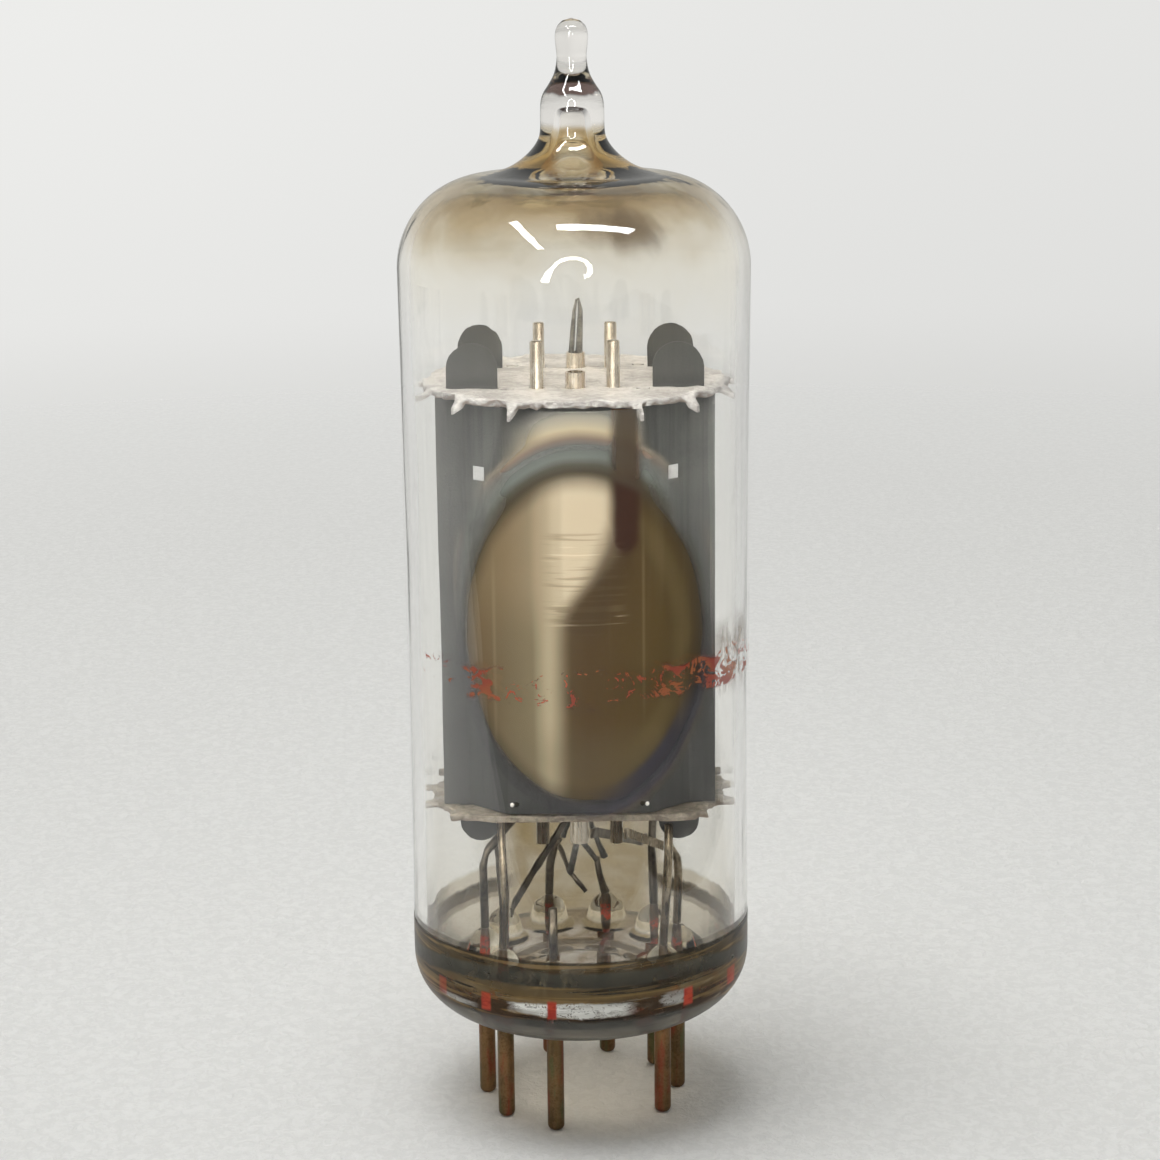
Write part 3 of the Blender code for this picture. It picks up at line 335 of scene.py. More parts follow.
def heel_haze(tree, haze, point, away, cloud):
    """Brown films low in the bulb: on the back wall, the floor, the mounds and the wall's foot, with painted
    shade lines at the inner corner and on the wall ring's top.
    """
    x, y, z = axes(tree, point)
    sideways = calc(tree, "ABSOLUTE", x)
    layers = noise(tree, place_in_mm(tree, (0.11, 0.11, 2.4)), 1.0, 3.0, 0.6, 0.3)
    low = step(tree, z, 9.5, 21.0, 0.6, 0.0)
    haze = tint(tree, low, haze, (0.93, 0.915, 0.86))
    drift = calc(tree, "SUBTRACT", cloud, 0.5)
    rising = calc(tree, "MULTIPLY_ADD", drift, 6.0, z)
    behind = times(tree, step(tree, z, 8.25, 9.25), step(tree, rising, 15.5, 22.5, 1.0, 0.0))
    behind = times(tree, behind, step(tree, y, 2.0, 6.0))
    across = calc(tree, "MULTIPLY_ADD", drift, 4.0, sideways)
    behind = times(tree, behind, step(tree, across, 3.9, 7.2, 1.0, 0.0))
    haze = tint(tree, times(tree, behind, step(tree, cloud, 0.3, 0.6, 0.65, 1.0)), haze,
                (0.37, 0.28, 0.14))
    patches = noise(tree, point, 0.45, 3.0, 0.6, 0.8)
    floor = times(tree, span(tree, z, 8.9, 9.2, 0.05), step(tree, away, 8.1, 7.8))
    floor = times(tree, floor, step(tree, patches, 0.3, 0.65, 0.75, 1.0))
    haze = tint(tree, floor, haze, (0.14, 0.09, 0.045))
    near = pin_distance(tree, point)
    bead = step(tree, z, 8.95, 9.1)
    foot = times(tree, bead, step(tree, near, 1.75, 1.5))
    haze = tint(tree, times(tree, foot, step(tree, z, 9.6, 9.3)), haze, (0.20, 0.14, 0.06))
    haze = tint(tree, times(tree, foot, step(tree, z, 9.4, 9.8)), haze,
                tint(tree, step(tree, patches, 0.4, 0.6), (0.80, 0.70, 0.50), (0.40, 0.32, 0.17)))
    wall_ring = times(tree, span(tree, away, 9.2, 9.7, 0.06), span(tree, z, 10.15, 11.2, 0.08))
    wall_ring = times(tree, wall_ring, step(tree, sideways, 4.0, 6.0))
    haze = tint(tree, times(tree, wall_ring, step(tree, layers, 0.3, 0.7, 0.7, 1.0)), haze,
                (0.13, 0.095, 0.04))
    # Dark lines at the inner corner of floor and wall, and along the top of the wall's ring: painted shade.
    corner_shade = times(tree, span(tree, away, 7.6, 8.15, 0.04), step(tree, z, 8.8, 8.95))
    ring_top_shade = times(tree, span(tree, away, 9.2, 9.7, 0.1), span(tree, z, 11.12, 11.27, 0.05))
    edges = calc(tree, "MULTIPLY_ADD", ring_top_shade, step(tree, sideways, 4.0, 6.0), corner_shade)
    edges = times(tree, edges, step(tree, z, 12.5, 12.0))
    haze = tint(tree, times(tree, edges, step(tree, patches, 0.4, 0.55, 0.35, 0.9)), haze,
                (0.045, 0.042, 0.032))
    skin = calc(tree, "MAXIMUM", step(tree, away, 9.62, 9.72),
                times(tree, step(tree, z, 8.9, 8.75), step(tree, away, 7.0, 7.5)))
    haze = tint(tree, times(tree, skin, step(tree, z, 12.3, 11.9)), haze, (0.50, 0.43, 0.32))
    return haze


def glass_finish():
    """Clear glass: browned in the dome, at the tip's collar and cone, and at the heel."""
    finish, tree, shader = new_finish("clear_glass_smoked")
    point = place_in_mm(tree)
    x, y, z = axes(tree, point)
    away = diagonal(tree, x, y)
    cloud = noise(tree, point, 0.17, 3.0, 0.55, 0.6)
    streaks = noise(tree, place_in_mm(tree, (1.0, 1.0, 0.25)), 0.35, 3.0, 0.6, 0.5)
    haze = dome_haze(tree, z, away, cloud, streaks)
    haze = tip_haze(tree, haze, x, z, streaks)
    haze = heel_haze(tree, haze, point, away, cloud)
    ripple = noise(tree, place_in_mm(tree, (1.0, 1.0, 0.12)), 0.5, 2.0, 0.5)
    set_shader(tree, shader, colour=haze, rough=0.0, clear=1.0, ior=1.5,
               normal=bump(tree, ripple, 0.05, 0.0004))

    path = put(tree, "ShaderNodeLightPath").outputs
    thick = step(tree, z, 10.0, 12.5, 1.0, 0.0)
    shadow = tint(tree, thick, (0.925, 0.912, 0.885), (0.52, 0.49, 0.43))
    passing = put(tree, "ShaderNodeBsdfTransparent", {"Color": shadow})
    show_mixed(tree, path["Is Shadow Ray"], shader, passing)
    return finish


def line_distance(tree, point, start, end):
    """Distance in the X-Z plane from a point to a straight stretch between two ends."""
    along = Vector(end) - Vector(start)
    away = put(tree, "ShaderNodeVectorMath", {0: point, 1: start}, operation="SUBTRACT").outputs[0]
    away = put(tree, "ShaderNodeVectorMath", {0: away, 1: (1.0, 0.0, 1.0)}, operation="MULTIPLY").outputs[0]
    run = put(tree, "ShaderNodeVectorMath", {0: away, 1: tuple(along)}, operation="DOT_PRODUCT")
    share = calc(tree, "DIVIDE", run.outputs["Value"], along.length_squared, clamp=True)
    foot = put(tree, "ShaderNodeVectorMath", {0: tuple(along), "Scale": share}, operation="SCALE").outputs[0]
    gap = put(tree, "ShaderNodeVectorMath", {0: away, 1: foot}, operation="DISTANCE")
    return gap.outputs["Value"]


def mirror_inside(tree, x, z, v, reach):
    """Inside the oval: a bright column left of a slanting shade, tan to its left, olive to its right; the
    bright column and the darker right side are in part a painted reflection.
    """
    # The film's own tan and olive, with a painted reflection: the bright column and the darker right side.
    across = calc(tree, "DIVIDE", calc(tree, "ADD", x, 7.0), 14.5)
    left = ramp(tree, across, [(0.0, (0.105, 0.073, 0.034)), (0.08, (0.14, 0.10, 0.05)),
                               (0.21, (0.175, 0.128, 0.07)), (0.30, (0.215, 0.165, 0.10)),
                               (0.36, (0.35, 0.285, 0.19)), (0.43, (0.50, 0.42, 0.30)),
                               (1.0, (0.48, 0.395, 0.285))])
    left_low = ramp(tree, across, [(0.0, (0.08, 0.055, 0.026)), (0.12, (0.118, 0.08, 0.038)),
                                   (0.22, (0.135, 0.104, 0.058)), (0.31, (0.155, 0.124, 0.072)),
                                   (0.375, (0.36, 0.305, 0.205)), (1.0, (0.34, 0.29, 0.195))])
    left = tint(tree, step(tree, z, 31.0, 35.5, 1.0, 0.0), left, left_low)
    right = ramp(tree, across, [(0.40, (0.075, 0.048, 0.019)), (0.52, (0.058, 0.033, 0.010)),
                                (0.78, (0.068, 0.043, 0.012)), (0.90, (0.060, 0.038, 0.010)),
                                (1.0, (0.04, 0.026, 0.009))])
    # A lighter arc inside the right rim: a painted highlight.
    arc = times(tree, span(tree, reach, 0.74, 0.86, 0.05), step(tree, x, 2.0, 4.5))
    right = tint(tree, times(tree, arc, 0.4), right, (0.115, 0.085, 0.035))
    slant = step(tree, z, 32.4, 37.6, -0.9, 2.3)
    past = step(tree, calc(tree, "SUBTRACT", x, slant), -1.0, 0.6)
    inner = tint(tree, past, left, right)
    inner = tint(tree, times(tree, span(tree, z, 22.0, 26.0, 1.5), 0.3), inner, (0.10, 0.084, 0.052))
    rim = step(tree, reach, 0.86, 0.99)
    inner = tint(tree, times(tree, rim, 0.72), inner, (0.036, 0.027, 0.013))
    cold = times(tree, step(tree, x, 0.0, 4.0), step(tree, v, -0.2, -0.7))
    cold = times(tree, cold, span(tree, reach, 0.91, 1.0, 0.03))
    inner = tint(tree, cold, inner, (0.028, 0.027, 0.036))
    streaky = noise(tree, place_in_mm(tree, (1.0, 1.0, 0.05)), 0.9, 2.0, 0.5)
    inner = tint(tree, step(tree, streaky, 0.55, 0.72, 0.0, 0.12), inner, (0.18, 0.14, 0.085))
    hairs = times(tree, span(tree, x, -4.68, -4.56, 0.10), span(tree, z, 26.0, 36.0, 2.0))
    hairs = calc(tree, "MULTIPLY_ADD", span(tree, x, 3.60, 3.68, 0.10), span(tree, z, 28.0, 38.0, 2.0), hairs)
    inner = tint(tree, times(tree, hairs, 0.22), inner, (0.34, 0.28, 0.18))
    return inner


def strap_shade(tree, point):
    """The strap's shade: its straight part, and the whole of it with the slant to the middle."""
    upper = line_distance(tree, point, (2.75, 0.0, 48.0), (2.7, 0.0, 37.6))
    lower = line_distance(tree, point, (2.6, 0.0, 37.6), (0.7, 0.0, 33.2))
    soft = calc(tree, "MULTIPLY_ADD", noise(tree, point, 0.6, 2.0, 0.5), 0.3, -0.15)
    shade_high = step(tree, calc(tree, "ADD", upper, soft), 0.45, 1.15, 1.0, 0.0)
    shade_low = step(tree, calc(tree, "ADD", lower, soft), 0.2, 1.7, 0.8, 0.0)
    shade = calc(tree, "MAXIMUM", shade_high, shade_low)
    return shade_high, shade


def level_scratches(tree, inner, x, z, shade):
    """Fine level scratches in the bright part."""
    level = noise(tree, place_in_mm(tree, (0.12, 0.12, 3.0)), 1.5, 2.0, 0.5)
    window = times(tree, span(tree, x, -1.6, 2.4, 0.6), span(tree, z, 32.8, 38.2, 0.8))
    window = times(tree, window, step(tree, shade, 0.1, 0.7, 1.0, 0.25))
    lines = times(tree, step(tree, level, 0.56, 0.64), window)
    inner = tint(tree, times(tree, lines, 0.45), inner, (0.12, 0.085, 0.045))
    lines = times(tree, step(tree, level, 0.40, 0.33), window)
    inner = tint(tree, times(tree, lines, 0.4), inner, (0.72, 0.62, 0.45))
    return inner


def mirror_fringes(tree, v, band, shade):
    """The coloured bands round the oval, warm above and cool at its sides and below."""
    fringes = ramp(tree, band, [(0.0, (0.05, 0.038, 0.02)), (0.10, (0.072, 0.066, 0.048)),
                                (0.22, (0.17, 0.19, 0.175)), (0.38, (0.18, 0.19, 0.18)),
                                (0.47, (0.26, 0.19, 0.15)), (0.60, (0.54, 0.45, 0.30)),
                                (0.78, (0.50, 0.47, 0.39)), (1.0, (0.32, 0.32, 0.31))])
    cool = ramp(tree, band, [(0.0, (0.03, 0.028, 0.034)), (0.45, (0.036, 0.036, 0.05)),
                             (0.62, (0.085, 0.055, 0.045)), (0.80, (0.085, 0.07, 0.038)),
                             (1.0, (0.08, 0.07, 0.045))])
    fringes = tint(tree, step(tree, v, 0.35, -0.15), fringes, cool)
    fringes = tint(tree, times(tree, shade, 0.95), fringes, (0.048, 0.034, 0.020))
    return fringes


def mirror_cover(tree, x, v, band, shade_high):
    """How much the film covers outside the oval: most above and least at its sides."""
    body = ramp(tree, band, [(0.0, (0.97,) * 3), (0.15, (0.8,) * 3), (0.35, (0.6,) * 3),
                             (0.62, (0.8,) * 3), (0.80, (0.55,) * 3), (1.0, (0.0,) * 3)])
    sideways = calc(tree, "ABSOLUTE", x)
    high = step(tree, v, 0.3, 0.9)
    near_rim = times(tree, high, step(tree, sideways, 3.4, 6.2, 1.0, 0.0))
    by_window = times(tree, step(tree, sideways, 4.7, 5.5), step(tree, v, 0.5, 0.7))
    near_rim = calc(tree, "MULTIPLY_ADD", near_rim, 0.65, step(tree, by_window, 0.0, 1.0, 0.35, 0.0))
    outer_rim = times(tree, high, step(tree, sideways, 1.3, 4.3, 1.0, 0.0))
    lower_right = times(tree, step(tree, v, 0.1, -0.5), step(tree, x, -1.5, 2.5))
    near_rim = calc(tree, "MAXIMUM", near_rim, lower_right)
    outer_rim = calc(tree, "MAXIMUM", outer_rim, times(tree, lower_right, 0.5))
    top_only = step(tree, band, 0.46, 0.62, 1.0, 0.0)
    top_only = calc(tree, "ADD", times(tree, top_only, near_rim),
                    times(tree, calc(tree, "SUBTRACT", 1.0, top_only), outer_rim))
    alpha = times(tree, body, top_only)
    return calc(tree, "MAXIMUM", alpha, times(tree, shade_high, 0.88))


def mirror_finish():
    """The getter film: a bright oval that thins out in coloured bands, shaded off by the strap; the oval's
    brightness is in part a painted reflection.
    """
    finish, tree, shader = new_finish("getter_film")
    point = place_in_mm(tree)
    x, _, z = axes(tree, point)
    wobble = calc(tree, "SUBTRACT", noise(tree, point, 0.25, 2.0, 0.5), 0.5)
    u = calc(tree, "DIVIDE", calc(tree, "SUBTRACT", x, MIRROR_CENTRE[0]), MIRROR_HALF_SIZE[0])
    v = calc(tree, "DIVIDE", calc(tree, "SUBTRACT", z, MIRROR_CENTRE[1]), MIRROR_HALF_SIZE[1])
    reach = diagonal(tree, u, v)
    reach = calc(tree, "MULTIPLY_ADD", wobble, 0.05, reach)
    fringe = calc(tree, "MAXIMUM", step(tree, v, -0.1, 0.95, 0.09, 0.42),
                  step(tree, v, -0.2, -0.8, 0.09, 0.14))
    band = calc(tree, "DIVIDE", calc(tree, "SUBTRACT", reach, 1.0), fringe)
    shade_high, shade = strap_shade(tree, point)
    inner = mirror_inside(tree, x, z, v, reach)
    inner = tint(tree, shade, inner, tint(tree, shade_high, (0.05, 0.03, 0.010), (0.030, 0.010, 0.004)))
    inner = level_scratches(tree, inner, x, z, shade)
    inside = step(tree, reach, 0.95, 1.01, 1.0, 0.0)
    colour = tint(tree, inside, mirror_fringes(tree, v, band, shade), inner)
    alpha = tint(tree, inside, mirror_cover(tree, x, v, band, shade_high), (1.0, 1.0, 1.0))
    dusty = noise(tree, point, 0.8, 2.0, 0.5)
    set_shader(tree, shader, colour=colour, shine=0.2, rough=step(tree, dusty, 0.2, 0.8, 0.3, 0.4),
               alpha=axes(tree, alpha)[0])
    return finish


def print_finish():
    """Worn flecks of red ink on the outside of the glass."""
    finish, tree, shader = new_finish("worn_red_flecks")
    point = place_in_mm(tree)
    x, _, z = axes(tree, point)
    broken = noise(tree, place_in_mm(tree, (0.7, 0.7, 0.9)), 1.5, 4.0, 0.66, 1.2)
    large = noise(tree, point, 0.55, 2.0, 0.5)
    dense = calc(tree, "ADD", span(tree, x, 4.2, 9.4, 0.6),
                 times(tree, span(tree, x, -6.4, -4.6, 0.4), 0.9))
    keep = calc(tree, "MULTIPLY_ADD", large, 0.3, broken)
    keep = calc(tree, "MULTIPLY_ADD", dense, 0.11, keep)
    ragged = calc(tree, "MULTIPLY_ADD", calc(tree, "SUBTRACT", large, 0.5), 1.4, z)
    strip = span(tree, ragged, 28.2, 30.2, 0.18)
    flecks = times(tree, step(tree, keep, 0.74, 0.79), strip)
    colour = tint(tree, step(tree, large, 0.35, 0.65), (0.45, 0.125, 0.03), (0.40, 0.048, 0.018))
    wiped = noise(tree, place_in_mm(tree, (1.6, 1.6, 0.5)), 0.8, 4.0, 0.65, 0.8)
    smudge = times(tree, span(tree, x, 8.0, 9.9, 0.5), span(tree, z, 27.8, 31.6, 0.8))
    smudge = times(tree, smudge, step(tree, wiped, 0.36, 0.58, 0.0, 0.6))
    flecks = times(tree, flecks, 0.88)
    colour = tint(tree, step(tree, flecks, 0.05, 0.3), (0.30, 0.22, 0.15), colour)
    set_shader(tree, shader, colour=colour, rough=0.6, alpha=calc(tree, "MAXIMUM", flecks, smudge))
    return finish


def smear_finish():
    """Dried smears and dust on the outside of the glass, whitish and very thin."""
    finish, tree, shader = new_finish("thin_white_smears")
    tall = noise(tree, place_in_mm(tree, (1.0, 1.0, 0.07)), 0.8, 4.0, 0.6, 0.3)
    cloud = noise(tree, place_in_mm(tree), 0.22, 3.0, 0.6, 0.8)
    x, _, z = axes(tree, place_in_mm(tree))
    smear = times(tree, step(tree, tall, 0.48, 0.75), step(tree, cloud, 0.38, 0.68))
    sides = step(tree, calc(tree, "ABSOLUTE", x), 6.5, 8.8, 0.0, 0.24)
    upper = step(tree, z, 42.0, 48.0, 0.0, 0.12)
    alpha = times(tree, smear, calc(tree, "ADD", sides, upper))
    set_shader(tree, shader, colour=(0.82, 0.81, 0.77), rough=0.8, alpha=alpha)
    return finish


def plate_finish():
    """Carbon-coated sheet: dark grey, brushed along its height, with painted shade along its folds."""
    finish, tree, shader = new_finish("carbonised_sheet")
    x, _, z = axes(tree, place_in_mm(tree))
    spots = use(tree, mottle, cloud_scale=0.25, grain_scale=7.0, grain_share=0.45)
    lines = use(tree, drawn_lines, scale=2.2)["Value"]
    colour = tint(tree, spots["Value"], (0.092, 0.094, 0.090), (0.132, 0.134, 0.125))
    colour = tint(tree, times(tree, lines, 0.3), colour, (0.20, 0.20, 0.188))
    colour = tint(tree, step(tree, z, 20.0, 42.0, 0.74, 0.0), colour, (0.028, 0.028, 0.027))
    colour = tint(tree, step(tree, x, -5.2, -7.2, 0.0, 0.45), colour, (0.045, 0.045, 0.042))
    colour = tint(tree, step(tree, z, 45.2, 45.6, 0.0, 0.75), colour, (0.052, 0.053, 0.05))
    contact = times(tree, span(tree, z, 45.3, 46.0, 0.35), spots["Value"])
    colour = tint(tree, times(tree, contact, 0.7), colour, (0.045, 0.045, 0.045))
    # Darker lines along the folds: painted shade.
    edge = calc(tree, "ABSOLUTE", x)
    folds = calc(tree, "ADD", span(tree, edge, 5.27, 5.33, 0.06), span(tree, edge, 7.15, 7.22, 0.07))
    colour = tint(tree, times(tree, folds, 0.35), colour, (0.06, 0.06, 0.06))
    set_shader(tree, shader, colour=colour, metal=0.0, shine=0.25,
               rough=step(tree, spots["Grain"], 0.3, 0.7, 0.5, 0.68),
               normal=bump(tree, spots["Grain"], 0.35, 0.00006))
    return finish


def mica_finish(name, light, dark, edge_colour, coat):
    """Flaky mica, with a sprayed coat or bare, painted darker brown on its underside as shade."""
    finish, tree, shader = new_finish(name)
    spots = use(tree, mottle, cloud_scale=0.45, grain_scale=2.6, grain_share=0.9)
    flakes = noise(tree, place_in_mm(tree, (1.0, 1.0, 3.0)), 1.1, 5.0, 0.7, 1.2)
    colour = tint(tree, spots["Value"], dark, light)
    colour = tint(tree, step(tree, flakes, 0.52, 0.66, 0.0, 0.55), colour, edge_colour)
    # Faces that look down are painted darker brown: painted shade on the underside.
    up = axes(tree, put(tree, "ShaderNodeNewGeometry").outputs["Normal"])["Z"]
    colour = tint(tree, step(tree, up, 0.1, -0.5, 0.0, 0.6), colour, (0.26, 0.19, 0.15))
    set_shader(tree, shader, colour=colour, coat=coat, rough=step(tree, flakes, 0.3, 0.7, 0.35, 0.6),
               normal=bump(tree, flakes, 0.6, 0.0002))
    return finish


def nickel_finish(name, light, dark, rough):
    """Nickel wire or sheet, stained by heat in clouds along its length."""
    finish, tree, shader = new_finish(name)
    spots = use(tree, mottle, cloud_scale=0.5, grain_scale=5.0, grain_share=0.5)
    lines = use(tree, drawn_lines, scale=5.0)["Value"]
    colour = tint(tree, spots["Value"], dark, light)
    set_shader(tree, shader, colour=colour, metal=1.0,
               rough=calc(tree, "MULTIPLY_ADD", lines, 0.12, rough))
    return finish


def heater_finish():
    """Chalky grey coat on the heater wire."""
    finish, tree, shader = new_finish("sprayed_heater_coat")
    spots = use(tree, mottle, cloud_scale=1.2, grain_scale=9.0, grain_share=0.8)
    colour = tint(tree, spots["Value"], (0.11, 0.108, 0.10), (0.23, 0.225, 0.21))
    set_shader(tree, shader, colour=colour, rough=0.7, normal=bump(tree, spots["Grain"], 0.5, 0.00005))
    return finish


def getter_finish():
    """Flashed getter steel: brown to blue-black."""
    finish, tree, shader = new_finish("flashed_getter_steel")
    spots = use(tree, mottle, cloud_scale=0.3, grain_scale=4.0, grain_share=0.4)
    colour = tint(tree, spots["Value"], (0.045, 0.022, 0.015), (0.15, 0.075, 0.04))
    set_shader(tree, shader, colour=colour, metal=1.0, rough=step(tree, spots["Grain"], 0.3, 0.7, 0.35, 0.55))
    return finish


def pin_finish():
    """Tarnished pin wire: copper brown, with dark, red and green patches running down it."""
    finish, tree, shader = new_finish("tarnished_pin_wire")
    lines = use(tree, drawn_lines, scale=2.6)["Value"]
    spots = use(tree, mottle, cloud_scale=0.42, grain_scale=6.0, grain_share=0.7)
    tall = noise(tree, place_in_mm(tree, (1.3, 1.3, 0.22)), 0.9, 3.0, 0.6, 0.3)
    colour = tint(tree, spots["Value"], (0.085, 0.050, 0.018), (0.21, 0.115, 0.045))
    colour = tint(tree, times(tree, lines, 0.5), colour, (0.15, 0.095, 0.035))
    colour = tint(tree, step(tree, tall, 0.50, 0.66, 0.0, 0.8), colour, (0.23, 0.045, 0.02))
    colour = tint(tree, step(tree, tall, 0.43, 0.33, 0.0, 0.75), colour, (0.085, 0.095, 0.035))
    grime = step(tree, spots["Grain"], 0.60, 0.72, 0.0, 0.55)
    colour = tint(tree, grime, colour, (0.03, 0.02, 0.012))
    set_shader(tree, shader, colour=colour, metal=step(tree, spots["Grain"], 0.3, 0.7, 0.85, 0.5),
               rough=step(tree, spots["Grain"], 0.3, 0.7, 0.3, 0.55),
               normal=bump(tree, spots["Grain"], 0.4, 0.00005))
    return finish


def seal_finish():
    """Copper-clad sealing wire, red where it is wetted by the glass."""
    finish, tree, shader = new_finish("red_sealing_wire")
    spots = use(tree, mottle, cloud_scale=1.1, grain_scale=8.0, grain_share=0.6)
    z = axes(tree, place_in_mm(tree))["Z"]
    red = tint(tree, spots["Value"], (0.40, 0.03, 0.016), (0.70, 0.07, 0.03))
    patchy = calc(tree, "MULTIPLY_ADD", spots["Value"], 0.9, z)
    upper = calc(tree, "SUBTRACT", step(tree, patchy, 8.5, 8.8), span(tree, patchy, 10.1, 10.4, 0.15))
    colour = tint(tree, upper, red, (0.12, 0.085, 0.06))
    set_shader(tree, shader, colour=colour, rough=0.35, coat=0.3)
    return finish


# Shapes
def round_stretch(centre, radius, start, end, steps):
    """Points on an arc in the (distance, height) plane, angles in degrees."""
    points = []
    for i in range(steps + 1):
        angle = math.radians(start + (end - start) * i / steps)
        points.append((centre[0] + radius * math.cos(angle), centre[1] + radius * math.sin(angle)))
    return points


def smooth_curve(points, steps):
    """A curve through the given points, with steps points between each two."""
    ends = [points[0]] + points + [points[-1]]
    result = []
    for i in range(1, len(ends) - 2):
        a, b, c, d = (Vector(p) for p in ends[i - 1:i + 3])
        for k in range(steps):
            t = k / steps
            result.append(0.5 * ((2 * b) + (c - a) * t + (2 * a - 5 * b + 4 * c - d) * t * t
                                 + (3 * b - a - 3 * c + d) * t ** 3))
    result.append(Vector(points[-1]))
    return [tuple(p) for p in result]


def ring(bm, radius, height, sides, lift=None):
    """A closed ring of vertices about the tube's axis; lift may raise each point."""
    verts = []
    for i in range(sides):
        angle = 2 * math.pi * i / sides
        x = radius * math.cos(angle)
        y = radius * math.sin(angle)
        z = height + (lift(x, y) if lift else 0.0)
        verts.append(bm.verts.new((x * MM, y * MM, z * MM)))
    return verts


def bridge(bm, first, second):
    count = len(first)
    for i in range(count):
        j = (i + 1) % count
        bm.faces.new((first[i], first[j], second[j], second[i]))


def close_to_point(bm, verts, height):
    tip = bm.verts.new((0.0, 0.0, height * MM))
    count = len(verts)
    for i in range(count):
        bm.faces.new((verts[i], verts[(i + 1) % count], tip))


def skin_over(bm, rings, start, end):
    """Joins rings to one closed skin, with a point at each end at these heights."""
    for first, second in zip(rings, rings[1:]):
        bridge(bm, first, second)
    close_to_point(bm, rings[0], start)
    close_to_point(bm, rings[-1], end)


def take_mesh(name, bm, finish):
    """The drawn mesh as Blender data, in its finish."""
    mesh = bpy.data.meshes.new(name)
    bm.to_mesh(mesh)
    bm.free()
    mesh.materials.append(finish)
    return mesh


def cad_mesh(node):
    """The mesh of a CAD piece with its points joined, to be dressed."""
    bm = bmesh.new()
    bm.from_mesh(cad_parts[node].data)
    bmesh.ops.remove_doubles(bm, verts=bm.verts, dist=SAME_POINT * MM)
    return bm


def finish_mesh(name, bm, finish, nodes=(), sharp=None, cavity=()):
    """Makes a piece of the part: smooth shaded, riding on the root body; cavity faces look inwards."""
    bmesh.ops.recalc_face_normals(bm, faces=bm.faces)
    bmesh.ops.reverse_faces(bm, faces=list(cavity))
    mesh = take_mesh(name, bm, finish)
    mesh.shade_smooth()
    if sharp:
        mesh.set_sharp_from_angle(angle=math.radians(sharp))
    piece = add_object(name, mesh)
    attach(piece, "root")
    if nodes:
        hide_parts(*nodes)


def pin_place(number):
    angle = math.radians(FIRST_PIN_ANGLE + (number - 1) * PIN_STEP)
    return PIN_CIRCLE * math.sin(angle), -PIN_CIRCLE * math.cos(angle)


def mound_lift(x, y):
    """How far the button's floor rises at a point, for the glass round each lead."""
    rise = 0.0
    for number in PIN_NUMBERS:
        px, py = pin_place(number)
        away = math.hypot(x - px, y - py)
        if away < MOUND_RADIUS:
            rise = max(rise, (MOUND_TOP - FLOOR_LEVEL) * math.sqrt(1.0 - (away / MOUND_RADIUS) ** 2))
        foot = (away - MOUND_RADIUS) / MOUND_FOOT
        if abs(foot) < 1.0:
            rise = max(rise, 0.22 * (1.0 - abs(foot)) ** 2)
    return rise


def tip_outline():
    """Outside of the drawn tip, from its top down to the flare's foot on the dome."""
    return smooth_curve([(0.5, 65.86), (0.82, 65.53), (0.95, 65.05), (0.91, 64.4), (0.86, 63.9), (0.90, 63.4),
                         (1.04, 62.85), (1.34, 62.3), (1.66, 61.8), (1.81, 61.3), (1.85, 60.6), (1.86, 59.8),
                         (1.98, 59.2), (2.42, 58.55), (3.1, 57.95), (3.9, 57.5), (4.95, 57.2)], 4)


def bore_outline():
    """Inside of the tip, from the dome's inside up to the bore's closed end."""
    return smooth_curve([(4.9, 56.45), (3.6, 56.6), (2.3, 57.0), (1.45, 57.7), (1.02, 58.6), (0.82, 59.4),
                         (0.74, 60.0), (0.70, 60.5), (0.56, 60.88), (0.25, 61.0)], 4)


def waisted(radius, low, high):
    """The bulb's straight part, drawn in a little at its middle."""
    return [(radius - WAIST * math.sin(math.pi * i / 30), low + (high - low) * i / 30) for i in range(1, 30)]


